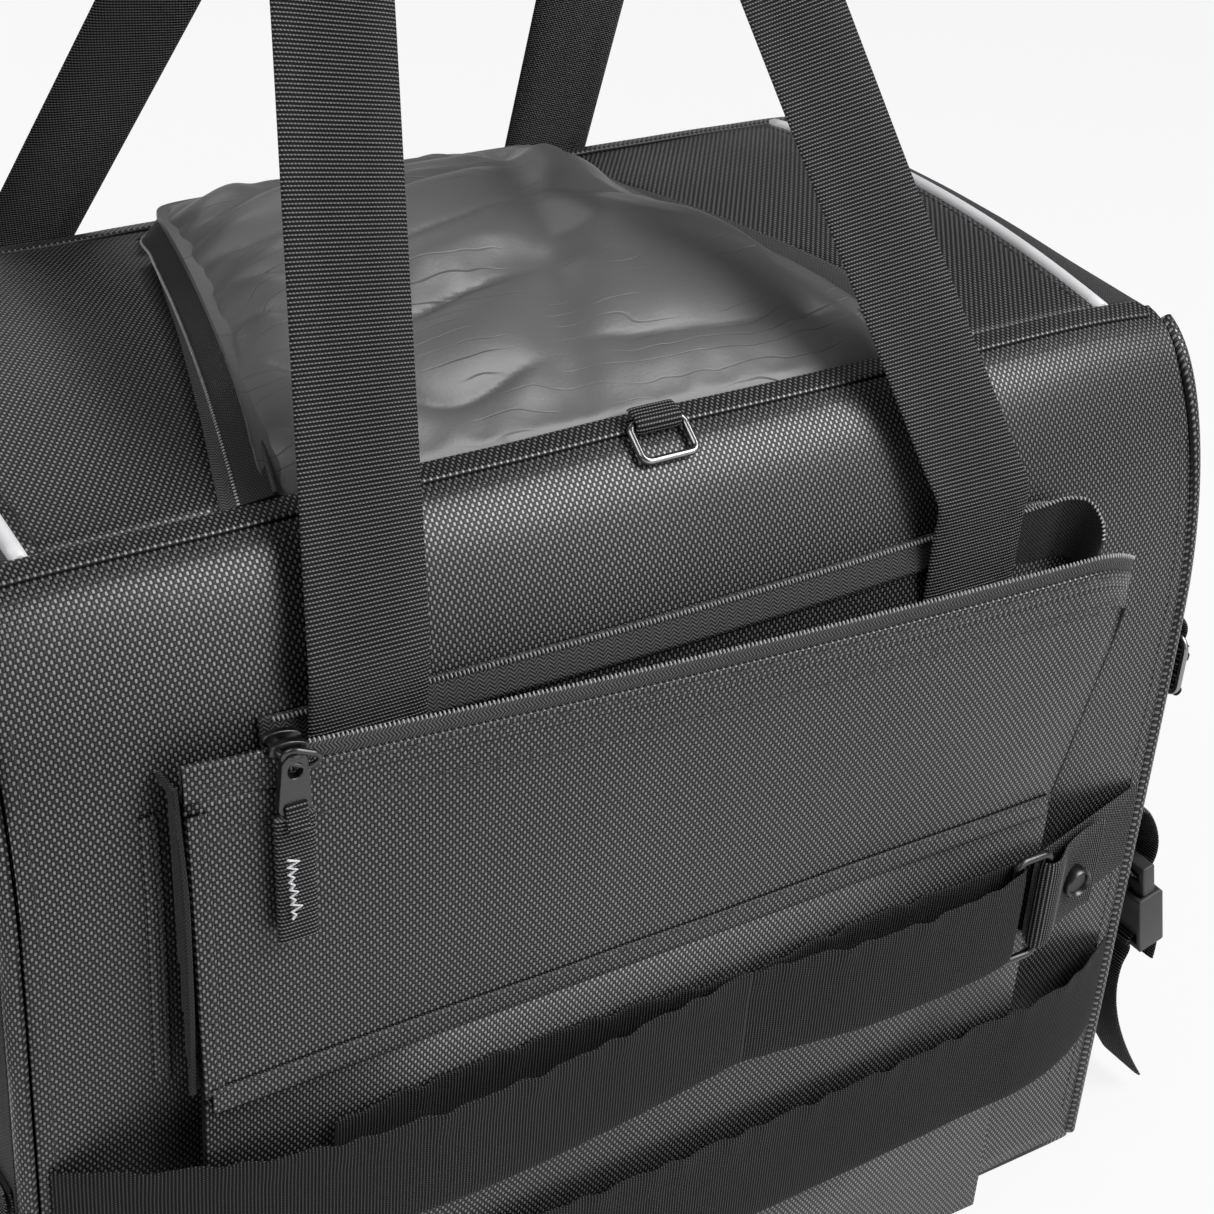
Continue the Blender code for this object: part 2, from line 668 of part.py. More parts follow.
def make_pocket_body():
    """Lower panel and the gussets that join the pocket to the bag."""
    xs = spread(-POCKET_LEFT, POCKET_RIGHT, 5)
    levels = (POCKET_FLOOR, FLAP_HINGE_Z / 2, FLAP_HINGE_Z - HINGE_GAP)
    rows = [[(x, -POCKET_Y, z) for x in xs] for z in levels]
    add_sheet("pocket_lower_panel", rows, PANEL_T, NYLON)
    left = -POCKET_LEFT + GUSSET_INSET
    right = POCKET_RIGHT - GUSSET_INSET
    floor = POCKET_FLOOR + GUSSET_INSET
    top = FLAP_HINGE_Z - GUSSET_INSET
    heights = (top, mix(BULGE_START, top, 0.5), BULGE_START, mix(floor, BULGE_START, 0.5), floor)
    path = [(left, z) for z in heights]
    path += [(x, floor) for x in spread(left, right, 9)[1:-1]]
    path += [(right, z) for z in reversed(heights)]
    outer = -(POCKET_Y - PANEL_T - GAP)
    rows = [((x, -(wall_y(x, z) + GAP), z), (x, outer, z)) for x, z in path]
    add_sheet("pocket_gusset", rows, GUSSET_T, SMOOTH_CLOTH, 0.0)
    for hand, share, push in (("left", 0.0, -FLAP_SIDE_GAP), ("right", 1.0, FLAP_SIDE_GAP)):
        rows = []
        for height in spread(0.02, 0.95, 5):
            point = flap_point(share, height)
            x = point.x + push
            inner = -(wall_y(x, point.z) + GAP)
            rows.append(((x, inner, point.z), (x, inner - FLAP_GUSSET_REACH, point.z)))
        add_sheet(f"{hand}_flap_gusset", rows, GUSSET_T, SMOOTH_CLOTH, 0.0)


def make_back_zip():
    """Zip tape sewn to the bag above the pocket."""
    rows = []
    for z in (BACK_ZIP_Z - ZIP_TAPE_W / 2, BACK_ZIP_Z, BACK_ZIP_Z + ZIP_TAPE_W / 2):
        row = []
        for x in spread(-BACK_ZIP_LEFT, BACK_ZIP_RIGHT, 9):
            row.append((x, -(wall_y(x, z) + 2 * GAP + TAPE_T / 2), z))
        rows.append(row)
    add_sheet("pocket_zip_back", rows, TAPE_T, ZIP_TAPE, 0.0)


def make_flap():
    """Flap that folds at the stitched line, with the zip tape along its top."""
    pivot = add_pivot("pocket_flap_hinge", (0, HINGE_Y, FLAP_HINGE_Z))
    low = HINGE_GAP / FLAP_HEIGHT
    seam = 1 - ZIP_TAPE_W / FLAP_HEIGHT
    rows = [[flap_point(c, h) for c in FLAP_COLUMNS] for h in spread(low, seam, 5)]
    add_sheet("pocket_flap", rows, PANEL_T, NYLON, pivot=pivot)
    inward = Vector((0, PANEL_T / 2, 0))
    shares = (seam + 2 * GAP / FLAP_HEIGHT, 1.0)
    rows = [[flap_point(c, h) + inward for c in FLAP_COLUMNS] for h in shares]
    add_sheet("pocket_zip_front", rows, TAPE_T, ZIP_TAPE, 0.0, pivot)


def zip_line():
    """Start, direction and slider seat of the flap's zip edge."""
    inward = Vector((0, PANEL_T / 2, 0))
    start = flap_point(0.0, 1.0) + inward
    along = (flap_point(1.0, 1.0) + inward - start).normalized()
    seat = start + along * ((SLIDER_X - start.x) / along.x)
    return along, seat


def make_pocket_slider():
    along, seat = zip_line()
    track = add_pivot("pocket_slider_track", seat)
    half = SLIDER_HALF
    slot = SLIDER_SLOT
    top = SLIDER_TOP
    foot = -SLIDER_SKIRT
    outline = [(-half, foot), (-slot, foot), (-slot, top / 3), (slot, top / 3), (slot, foot), (half, foot)]
    outline += [(half, top * 0.5), (half * 0.6, top), (-half * 0.6, top), (-half, top * 0.5)]
    side = Vector((0, 0, 1)).cross(along)
    add_plate("pocket_slider", [outline], SLIDER_LENGTH, axes_matrix(seat, side, (0, 0, 1)), DARK_METAL, track)
    share = (SLIDER_X + POCKET_LEFT) / (POCKET_LEFT + POCKET_RIGHT)
    down = (flap_point(share, 0.0) - flap_point(share, 1.0)).normalized()
    hinge = seat - side * (half + 2 * GAP + PULL_WEB_T / 2)
    swing = add_pivot("pocket_pull_hinge", hinge)
    tab_middle = hinge + down * (PULL_LENGTH / 2 - PULL_OVERRUN)
    tab = [(-PULL_TOP_W / 2, PULL_LENGTH / 2), (-PULL_END_W / 2, -PULL_LENGTH / 2)]
    tab += [(PULL_END_W / 2, -PULL_LENGTH / 2), (PULL_TOP_W / 2, PULL_LENGTH / 2)]
    hole = [(u, v + PULL_LENGTH / 6) for u, v in rounded_rectangle(PULL_HOLE_D, PULL_HOLE_D, PULL_HOLE_D / 2.01)]
    frame = axes_matrix(tab_middle, (1, 0, 0), -down)
    add_plate("pocket_pull_tab", [tab, hole], PULL_T, frame, DARK_METAL, swing)
    first = tab_middle + down * (PULL_LENGTH / 2 + GAP)
    path = [first + down * PULL_WEB_LENGTH * share for share in spread(0.0, 1.0, 5)]
    add_webbing("pocket_pull_web", path, Vector((1, 0, 0)), PULL_WEB_W, PULL_WEB_T, WEBBING, swing)


# Mounting straps on the pocket side

def make_mounting_straps():
    """Two hook-and-loop straps; the upper one folds back round the ring's left bar."""
    upright = Vector((0, 0, 1))
    lay = -(POCKET_Y + 2 * GAP + STRAP_T / 2)
    end_x = EDGE_X - PIPING_D / 2
    end_y = -(wall_y(end_x, UPPER_STRAP_Z) + 2 * GAP + STRAP_T / 2)
    step = GUSSET_INSET
    turn = RING_WIRE_D / 2 + FOLD_GAP + STRAP_T / 2
    plan = [(-end_x, end_y), (-POCKET_LEFT - step, lay), (-POCKET_LEFT + step, lay)]
    plan += [(x, lay) for x in spread(-POCKET_LEFT + 4 * step, RING_LEFT_X - 4 * step, 4)]
    plan += fold_arc((RING_LEFT_X, RING_Y), turn, 90, -90)
    near = RING_Y - turn
    rest = lay - STRAP_T - 2 * GAP
    for share in spread(0.12, 1.0, 8):
        stand = UPPER_STRAP_BOW * math.sin(math.pi * min(1.0, share * 2.2)) if share < 0.45 else 0.0
        y = mix(near, rest, min(1.0, share * 2.2)) - stand
        plan.append((mix(RING_LEFT_X, UPPER_STRAP_END - POCKET_LEFT, share), y))
    path = [Vector((x, y, UPPER_STRAP_Z)) for x, y in plan]
    add_webbing("upper_mount_strap", path, upright, UPPER_STRAP_W, STRAP_T, LOOP_TAPE)
    low_y = -(wall_y(end_x, LOWER_STRAP_Z) + 2 * GAP + STRAP_T / 2)
    plan = [(-end_x, low_y), (-POCKET_LEFT - step, lay)]
    for share in spread(0.0, 1.0, 9):
        x = mix(-POCKET_LEFT + step, POCKET_RIGHT - step, share)
        plan.append((x, lay - LOWER_STRAP_BOW * math.sin(math.pi * share)))
    plan += [(POCKET_RIGHT + step, lay), (end_x, low_y)]
    path = [Vector((x, y, LOWER_STRAP_Z)) for x, y in plan]
    add_webbing("lower_mount_strap", path, upright, LOWER_STRAP_W, STRAP_T, LOOP_TAPE)


def make_strap_ring():
    height = max(UPPER_STRAP_W, TAB_W) + RING_WIRE_D + 4 * GAP
    loop = rounded_rectangle(RING_SPAN, height, RING_WIRE_D)
    middle = (RING_LEFT_X + RING_RIGHT_X) / 2
    points = [(middle + u, RING_Y, UPPER_STRAP_Z + v) for u, v in loop]
    add_wire("strap_ring", points, RING_WIRE_D, BRIGHT_METAL, closed=True)


def make_snap_tab():
    """Webbing tab that holds the ring; its outer layer snaps on to the sewn one."""
    upright = Vector((0, 0, 1))
    turn = RING_WIRE_D / 2 + FOLD_GAP + TAB_T / 2
    bar = Vector((RING_RIGHT_X, RING_Y, UPPER_STRAP_Z))
    back = turn + TAB_T + GAP
    end_x = EDGE_X - PIPING_D / 2
    end = Vector((end_x, -(wall_y(end_x, UPPER_STRAP_Z) + 2 * GAP + TAB_T / 2), UPPER_STRAP_Z))
    along = (end - bar).normalized()
    for _ in range(4):
        inward = upright.cross(along)
        along = (end - (bar + inward * back)).normalized()
    inward = upright.cross(along)
    path = [(bar + inward * back).lerp(end, share) for share in spread(0.0, 1.0, 5)]
    add_webbing("ring_tab_base", path, upright, TAB_W, TAB_T, WEBBING)
    pivot = add_pivot("snap_tab_hinge", bar)
    bearing = math.degrees(math.atan2(inward.y, inward.x))
    plan = [Vector((x, y, UPPER_STRAP_Z)) for x, y in fold_arc((bar.x, bar.y), turn, bearing, bearing + 180)]
    at_snap = bar + inward * (back - SNAP_LIFT) + along * SNAP_REACH
    at_end = bar + inward * (back - SNAP_LIFT) + along * TAB_FLAP_LENGTH
    plan += [at_snap - along * SNAP_CAP_D / 2, at_snap + along * SNAP_CAP_D / 2, at_end]
    add_webbing("ring_tab_flap", plan, upright, TAB_W, TAB_T, WEBBING, pivot)
    cap_at = at_snap - inward * (TAB_T / 2 + GAP + SNAP_CAP_T / 2)
    add_disc("snap_cap", SNAP_CAP_D, SNAP_CAP_T, axes_matrix(cap_at, along, upright), DARK_METAL, 0.0007, pivot)
    stud_t = SNAP_LIFT - TAB_T - 2 * GAP
    stud_at = bar + inward * (back - SNAP_LIFT / 2) + along * SNAP_REACH
    add_disc("snap_stud", SNAP_STUD_D, stud_t, axes_matrix(stud_at, along, upright), DARK_METAL)


# Handles

HANDLE_TWIST = (0.62, 0.84)    # shares of the leg's path over which the webbing twists
HANDLE_ROWS = 17


def leg_path(side):
    """Middle line and widths of a front handle's leg; its lower end lies along the pivot."""
    pivot = Vector((side * HANDLE_SPREAD, -HANDLE_PIVOT_Y, HANDLE_PIVOT_Z))
    inner = Vector((side * (GRIP_HALF + GAP), -GRIP_Y, GRIP_Z))
    corner = inner + Vector((side * GRIP_HEIGHT, 0, 0))
    lean = (corner - pivot).normalized()
    plane = Vector((side, 0, 0)).cross(lean).normalized()
    bend = corner - lean * (3 * GRIP_HEIGHT)
    path = [(pivot + lean * 2 * GAP).lerp(bend, share) for share in spread(0.0, 1.0, HANDLE_ROWS - 6)]
    for t in spread(0.0, 1.0, 7)[1:]:
        first = bend.lerp(corner, t)
        path.append(first.lerp(corner.lerp(inner, t), t))
    across = []
    for i, point in enumerate(path):
        ahead = path[min(i + 1, len(path) - 1)] - path[max(i - 1, 0)]
        flat = ahead.cross(plane).normalized()
        start, stop = HANDLE_TWIST
        share = min(1.0, max(0.0, (i / (len(path) - 1) - start) / (stop - start)))
        turn = math.radians(90) * share * share * (3 - 2 * share)
        width = mix(HANDLE_W, HANDLE_GRIP_W, turn / math.radians(90))
        across.append((flat * math.cos(turn) + plane * math.sin(turn)).normalized() * width / HANDLE_W)
    across[0] = Vector((side / abs(across[0].x), 0, 0))
    return path, across


def make_handles():
    """Two handles of webbing, each with a grip, and the feet sewn to the bag."""
    for end, y_side in (("front", 1), ("rear", -1)):
        pivot = add_pivot(f"{end}_handle_pivot", (0, -y_side * HANDLE_PIVOT_Y, HANDLE_PIVOT_Z))
        for hand, x_side in (("left", -1), ("right", 1)):
            path, across = leg_path(x_side)
            path = [Vector((p.x, y_side * p.y, p.z)) for p in path]
            across = [Vector((a.x, y_side * a.y, a.z)) for a in across]
            add_webbing(f"{end}_handle_{hand}_strap", path, across, HANDLE_W, HANDLE_T, WEBBING, pivot)
            x = x_side * HANDLE_SPREAD
            reach = 2 * GAP + HANDLE_T / 2
            foot = [Vector((x, -y_side * (wall_y(x, z) + reach), z)) for z in spread(HANDLE_FOOT_Z, HANDLE_SEWN_Z, 4)]
            foot.append(Vector((x, -y_side * HANDLE_PIVOT_Y, HANDLE_PIVOT_Z - HANDLE_T)))
            add_webbing(f"{end}_{hand}_handle_foot", foot, Vector((1, 0, 0)), HANDLE_W, HANDLE_T, WEBBING)
        place = Matrix.Translation((0, -y_side * GRIP_Y, GRIP_Z))
        size = (2 * GRIP_HALF, GRIP_DEPTH, GRIP_HEIGHT)
        add_block(f"{end}_grip", size, place, WEBBING, GRIP_HEIGHT * 0.4, pivot)


# Wire rings on webbing loops

def make_top_ring():
    """Rectangular ring on a loop in the front seam, resting down the shoulder."""
    turn = WIRE_D / 2 + FOLD_GAP + LOOP_T / 2
    start = Vector((0, *shoulder_point(TOP_RING_X, 88)))
    tangent_y, tangent_z = shoulder_point(TOP_RING_X, 80)
    along = (Vector((0, tangent_y, tangent_z)) - start).normalized()
    away = along.cross(Vector((1, 0, 0)))
    base = start + away * (2 * GAP + LOOP_T / 2)
    bar = base + along * TOP_LOOP_RUN + away * turn
    path = [base + along * share * TOP_LOOP_RUN for share in (0.0, 0.5)]
    for u, v in fold_arc((0, 0), turn, -90, 90):
        path.append(bar + along * u + away * v)
    path += [base + away * 2 * turn + along * share * TOP_LOOP_RUN for share in (0.5, 0.0)]
    shift = Vector((TOP_RING_X, 0, 0))
    add_webbing("ring_loop", [p + shift for p in path], Vector((1, 0, 0)), TOP_LOOP_W, LOOP_T, WEBBING)
    centre = bar + shift
    pivot = add_pivot("top_ring_hinge", centre)
    clear = WIRE_D / 2 + 5 * GAP
    low = None
    for angle in range(88, 0, -1):
        y, z = shoulder_point(TOP_RING_X, angle)
        out = Vector((0, -(end_height(0) - SPRING_Z) * math.cos(math.radians(angle)),
                      SHOULDER_DEPTH * math.sin(math.radians(angle)))).normalized()
        low = Vector((TOP_RING_X, y, z)) + out * clear
        if (low - centre).length >= TOP_RING_DROP:
            break
    hang = (low - centre).normalized()
    loop = rounded_rectangle(TOP_RING_W, TOP_RING_DROP, WIRE_D)
    middle = centre + hang * TOP_RING_DROP / 2
    points = [middle + Vector((u, 0, 0)) + hang * v for u, v in loop]
    add_wire("top_ring", points, WIRE_D, DARK_METAL, closed=True, pivot=pivot)


def make_side_rings():
    turn = WIRE_D / 2 + FOLD_GAP + LOOP_T / 2
    for hand, side in (("left", -1), ("right", 1)):
        sewn = HALF_W + 2 * GAP + LOOP_T / 2
        bar_x = sewn + turn + SIDE_LOOP_OUT
        top = SIDE_RING_Z + SIDE_LOOP_RISE
        plan = [(sewn, top + LOOP_SEWN), (sewn, top)]
        plan += fold_arc((bar_x, SIDE_RING_Z), turn, 180, 360)
        layer = sewn + LOOP_T + 2 * GAP
        plan += [(layer, top + 2 * LOOP_T), (layer, top + LOOP_SEWN)]
        path = [Vector((side * x, SIDE_FIT_Y, z)) for x, z in plan]
        add_webbing(f"{hand}_ring_loop", path, Vector((0, 1, 0)), SIDE_LOOP_W, LOOP_T, WEBBING)
        centre = Vector((side * bar_x, SIDE_FIT_Y, SIDE_RING_Z))
        pivot = add_pivot(f"{hand}_ring_hinge", centre)
        loop = rounded_rectangle(SIDE_RING_W, SIDE_RING_DROP, WIRE_D)
        points = [centre + Vector((0, u, v - SIDE_RING_DROP / 2)) for u, v in loop]
        add_wire(f"{hand}_side_ring", points, WIRE_D, DARK_METAL, closed=True, pivot=pivot)


# Side-release buckles

def male_outlines():
    """Outline and web slot of the male half, v = 0 at the mouth of the socket."""
    half = BUCKLE_W / 2 - MALE_SIDE / 3
    reach = BUCKLE_W / 2 - BUCKLE_WALL - 2 * GAP
    slot_half = half - MALE_SIDE
    mouth = GAP
    tip = -MALE_PRONG_L
    middle = MALE_PRONG_W / 2
    outline = [(-half, mouth), (-reach, mouth), (-reach, tip), (-reach + MALE_PRONG_W, tip)]
    outline += [(-reach + MALE_PRONG_W, mouth), (-middle, mouth), (-middle, tip * 0.8), (middle, tip * 0.8)]
    outline += [(middle, mouth), (reach - MALE_PRONG_W, mouth), (reach - MALE_PRONG_W, tip)]
    outline += [(reach, tip), (reach, mouth), (half, mouth)]
    outline += [(half, MALE_HEAD_H), (-half, MALE_HEAD_H)]
    low = MALE_HEAD_H - MALE_BAR_H - BUCKLE_SLOT_H
    high = MALE_HEAD_H - MALE_BAR_H
    return [outline, [(-slot_half, low), (slot_half, low), (slot_half, high), (-slot_half, high)]]


def buckle_axes(side):
    """Outward and upward directions of a tilted buckle."""
    tilt = math.radians(BUCKLE_TILT)
    out = Vector((side * math.cos(tilt), 0, math.sin(tilt)))
    up = Vector((-side * math.sin(tilt), 0, math.cos(tilt)))
    return out, up


def make_buckles():
    slot_v = BUCKLE_BAR_H + BUCKLE_SLOT_H / 2 - BUCKLE_BOX_H
    for hand, side in (("left", -1), ("right", 1)):
        out, up = buckle_axes(side)
        mouth = Vector((side * (HALF_W + BUCKLE_OUT), SIDE_FIT_Y, BUCKLE_MOUTH_Z))
        across = Vector((0, side, 0))
        socket = (BUCKLE_T - 2 * BUCKLE_WALL, BUCKLE_W - 2 * BUCKLE_WALL, 2 * BUCKLE_SOCKET)
        slot = (2 * BUCKLE_T, BUCKLE_W - 2 * BUCKLE_WALL, BUCKLE_SLOT_H)
        place = axes_matrix(mouth - up * BUCKLE_BOX_H / 2, out, across)
        box = add_block(f"{hand}_buckle_female", (BUCKLE_T, BUCKLE_W, BUCKLE_BOX_H), place, PLASTIC)
        cut_away(box, f"{hand}_socket_cut", socket, axes_matrix(mouth, out, across))
        cut_away(box, f"{hand}_slot_cut", slot, axes_matrix(mouth + up * slot_v, out, across))
        pivot = add_pivot(f"{hand}_buckle_slide", mouth)
        add_plate(f"{hand}_buckle_male", male_outlines(), MALE_T, axes_matrix(mouth, (0, 1, 0), up), PLASTIC, pivot)
        make_buckle_web(hand, side, mouth, out, up)
        make_tie_strap(hand, side, mouth, out, up, slot_v)


def make_buckle_web(hand, side, mouth, out, up):
    """Web sewn to the side, looped under the male half's bar with room for its travel."""
    bar_low = MALE_HEAD_H - MALE_BAR_H
    spread_u = MALE_T / 2 + 2 * GAP + BUCKLE_WEB_T / 2
    dip = bar_low - 2 * GAP - BUCKLE_WEB_T / 2
    clear = MALE_HEAD_H + BUCKLE_TRAVEL + MALE_BAR_H
    loop = [(-spread_u, clear), (-spread_u, bar_low), (-spread_u + BUCKLE_WEB_T, dip)]
    loop += [(spread_u - BUCKLE_WEB_T, dip), (spread_u, bar_low), (spread_u, clear + BUCKLE_WEB_T)]
    loop = [mouth + out * u + up * v for u, v in loop]
    inner_x = side * (HALF_W + 2 * GAP + BUCKLE_WEB_T / 2)
    outer_x = inner_x + side * (BUCKLE_WEB_T + 2 * GAP)
    sewn_low = loop[-1].z + BUCKLE_WEB_RISE
    path = [Vector((inner_x, SIDE_FIT_Y, sewn_low + BUCKLE_SEWN)), Vector((inner_x, SIDE_FIT_Y, sewn_low))]
    path += loop
    path += [Vector((outer_x, SIDE_FIT_Y, sewn_low + 2 * BUCKLE_WEB_T))]
    path += [Vector((outer_x, SIDE_FIT_Y, sewn_low + BUCKLE_SEWN))]
    add_webbing(f"{hand}_buckle_web", path, Vector((0, 1, 0)), BUCKLE_WEB_W, BUCKLE_WEB_T, WEBBING)


def make_tie_strap(hand, side, mouth, out, up, slot_v):
    """Tie-down strap through the female half's slot, hanging slack down the side."""
    reach = BUCKLE_T / 2 + 2 * GAP + TIE_T / 2
    waist = Vector((side * (HALF_W + TIE_WAIST[0]), SIDE_FIT_Y, TIE_WAIST[1]))
    end = Vector((side * (HALF_W + TIE_END[0]), SIDE_FIT_Y, TIE_END[1]))
    foot = mouth - up * BUCKLE_BOX_H
    top = foot - out * reach
    path = [end.lerp(waist, t).lerp(waist.lerp(top, t), t) for t in spread(0.0, 1.0, 8)]
    bend = [(-reach, -TIE_T / 2), (-reach + TIE_T, 0.0), (reach - TIE_T, 0.0), (reach, -TIE_T / 2)]
    path += [mouth + out * u + up * (slot_v + v) for u, v in bend]
    path += [foot + out * reach, foot + out * reach * TIE_TAIL[0] - up * TIE_TAIL[1]]
    add_webbing(f"{hand}_tie_strap", path, Vector((0, 1, 0)), BUCKLE_WEB_W, TIE_T, WEBBING)


def main():
    make_base()
    make_wall_board()
    make_end_walls()
    make_side_walls()
    make_pipings()
    make_top_panel()
    make_lid()
    make_pocket_body()
    make_back_zip()
    make_flap()
    make_pocket_slider()
    make_mounting_straps()
    make_strap_ring()
    make_snap_tab()
    make_handles()
    make_top_ring()
    make_side_rings()
    make_buckles()


main()
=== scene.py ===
"""Dresses a motorcycle tail bag: woven panels, vinyl lid, webbing, zips, hardware and a studio."""

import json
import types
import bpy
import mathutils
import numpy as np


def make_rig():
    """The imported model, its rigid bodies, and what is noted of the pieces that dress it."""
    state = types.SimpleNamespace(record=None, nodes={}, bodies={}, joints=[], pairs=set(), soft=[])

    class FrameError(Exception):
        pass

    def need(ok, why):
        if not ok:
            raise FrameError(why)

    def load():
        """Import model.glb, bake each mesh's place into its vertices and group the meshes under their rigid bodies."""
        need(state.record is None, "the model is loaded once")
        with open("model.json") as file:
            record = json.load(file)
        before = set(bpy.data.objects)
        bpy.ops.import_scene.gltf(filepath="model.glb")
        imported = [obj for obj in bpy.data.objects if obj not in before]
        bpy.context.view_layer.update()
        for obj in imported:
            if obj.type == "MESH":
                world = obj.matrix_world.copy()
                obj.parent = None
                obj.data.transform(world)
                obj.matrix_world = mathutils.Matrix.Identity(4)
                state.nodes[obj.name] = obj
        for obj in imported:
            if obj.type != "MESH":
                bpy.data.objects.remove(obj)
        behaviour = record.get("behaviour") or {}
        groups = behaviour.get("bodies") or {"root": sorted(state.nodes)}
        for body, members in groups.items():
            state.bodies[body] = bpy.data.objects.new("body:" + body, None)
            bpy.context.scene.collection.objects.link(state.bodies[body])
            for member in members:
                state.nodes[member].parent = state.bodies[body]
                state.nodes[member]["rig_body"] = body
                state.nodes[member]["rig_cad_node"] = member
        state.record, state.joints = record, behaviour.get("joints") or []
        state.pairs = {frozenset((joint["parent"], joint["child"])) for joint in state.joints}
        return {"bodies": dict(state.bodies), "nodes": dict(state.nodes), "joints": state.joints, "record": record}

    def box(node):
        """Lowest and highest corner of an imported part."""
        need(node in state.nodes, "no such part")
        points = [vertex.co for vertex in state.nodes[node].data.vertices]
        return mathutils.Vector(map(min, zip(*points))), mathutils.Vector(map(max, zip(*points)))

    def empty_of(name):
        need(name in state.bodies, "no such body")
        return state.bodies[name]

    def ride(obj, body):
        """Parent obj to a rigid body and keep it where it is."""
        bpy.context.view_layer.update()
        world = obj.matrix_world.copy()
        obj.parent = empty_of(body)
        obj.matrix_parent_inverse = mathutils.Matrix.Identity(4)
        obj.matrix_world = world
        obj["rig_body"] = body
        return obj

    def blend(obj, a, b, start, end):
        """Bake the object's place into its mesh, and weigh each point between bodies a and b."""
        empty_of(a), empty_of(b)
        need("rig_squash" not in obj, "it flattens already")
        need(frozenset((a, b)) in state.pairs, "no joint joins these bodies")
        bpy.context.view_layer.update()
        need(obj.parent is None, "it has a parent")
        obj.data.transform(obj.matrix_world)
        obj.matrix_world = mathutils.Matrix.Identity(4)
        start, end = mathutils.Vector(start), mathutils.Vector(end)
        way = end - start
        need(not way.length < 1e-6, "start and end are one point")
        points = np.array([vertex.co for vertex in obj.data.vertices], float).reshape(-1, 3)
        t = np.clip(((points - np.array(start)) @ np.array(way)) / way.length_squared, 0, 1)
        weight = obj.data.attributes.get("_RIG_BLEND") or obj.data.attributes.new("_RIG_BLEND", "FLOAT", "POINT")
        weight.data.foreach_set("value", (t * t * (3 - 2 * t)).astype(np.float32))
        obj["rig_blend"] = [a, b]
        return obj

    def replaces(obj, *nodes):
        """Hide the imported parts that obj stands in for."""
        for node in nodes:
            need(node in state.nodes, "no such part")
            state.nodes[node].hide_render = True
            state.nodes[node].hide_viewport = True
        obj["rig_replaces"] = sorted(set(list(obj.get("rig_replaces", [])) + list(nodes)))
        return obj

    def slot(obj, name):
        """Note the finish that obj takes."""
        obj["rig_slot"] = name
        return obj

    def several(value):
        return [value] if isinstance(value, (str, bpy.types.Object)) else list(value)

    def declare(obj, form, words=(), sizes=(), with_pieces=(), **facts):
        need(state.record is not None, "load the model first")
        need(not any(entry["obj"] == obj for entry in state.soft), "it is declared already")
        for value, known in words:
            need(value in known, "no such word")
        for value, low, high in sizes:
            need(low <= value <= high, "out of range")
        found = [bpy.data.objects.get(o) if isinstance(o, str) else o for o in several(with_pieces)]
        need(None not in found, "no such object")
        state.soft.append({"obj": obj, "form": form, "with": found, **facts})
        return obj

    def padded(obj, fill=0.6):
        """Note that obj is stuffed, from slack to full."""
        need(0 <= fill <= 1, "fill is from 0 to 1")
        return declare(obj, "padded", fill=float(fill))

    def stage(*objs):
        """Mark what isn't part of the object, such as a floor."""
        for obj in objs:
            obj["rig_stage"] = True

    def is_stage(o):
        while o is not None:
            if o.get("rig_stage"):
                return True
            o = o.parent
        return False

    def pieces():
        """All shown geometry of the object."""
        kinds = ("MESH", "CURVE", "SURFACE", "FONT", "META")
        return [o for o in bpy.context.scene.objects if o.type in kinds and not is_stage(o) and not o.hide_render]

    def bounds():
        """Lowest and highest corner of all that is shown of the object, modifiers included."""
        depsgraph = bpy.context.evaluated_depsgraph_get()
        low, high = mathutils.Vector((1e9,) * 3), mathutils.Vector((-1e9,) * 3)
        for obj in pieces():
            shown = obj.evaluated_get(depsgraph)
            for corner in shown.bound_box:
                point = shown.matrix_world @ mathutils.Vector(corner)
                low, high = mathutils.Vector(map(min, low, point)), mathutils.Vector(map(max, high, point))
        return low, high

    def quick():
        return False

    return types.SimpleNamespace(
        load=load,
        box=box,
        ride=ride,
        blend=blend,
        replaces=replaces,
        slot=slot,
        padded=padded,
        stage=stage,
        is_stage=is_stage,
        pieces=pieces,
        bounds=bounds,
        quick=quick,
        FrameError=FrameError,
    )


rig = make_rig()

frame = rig.load()

import json
import math

import bmesh
import bpy
import numpy as np
from mathutils import Matrix, Vector, noise
from mathutils.bvhtree import BVHTree

bl_info = {
    "name": "Tail Bag Dress",
    "version": (1, 0, 0),
    "blender": (4, 5, 0),
    "location": "View3D > Sidebar > Tail Bag",
    "description": "Cloth, webbing, zips and hardware for a motorcycle tail bag",
    "category": "Object",
}

# Places read from the frame, in metres
CAD_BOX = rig.bounds()
NODES = frame["nodes"]
JOINTS = {joint["name"]: joint for joint in frame["joints"]}
FRONT_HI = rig.box("front_panel")[1]
LID_LO, LID_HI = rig.box("lid_vinyl")
FLAP_LO, FLAP_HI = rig.box("pocket_flap")
POCKET_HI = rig.box("pocket_lower_panel")[1]
BACK_ZIP_LO, BACK_ZIP_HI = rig.box("pocket_zip_back")
FLAP_RIGHT = min(FLAP_HI.x, POCKET_HI.x)
HALF_W = FRONT_HI.x
SEAM_Z = FRONT_HI.z

# The walls: half depth of the bag, place of the top seam, height where the shoulder starts
HALF_D = 0.1375
SEAM_Y = 0.0975
SPRING_Z = 0.244
SHOULDER_DEPTH = HALF_D - SEAM_Y
SHOULDER_HEIGHT = SEAM_Z - SPRING_Z

# Size of the dents in the panels and in the pocket's cloth
PANEL_DENTS = 0.085
POCKET_DENTS = 0.07

RIGHT = Vector((1, 0, 0))
BACK = Vector((0, 1, 0))
UP = Vector((0, 0, 1))

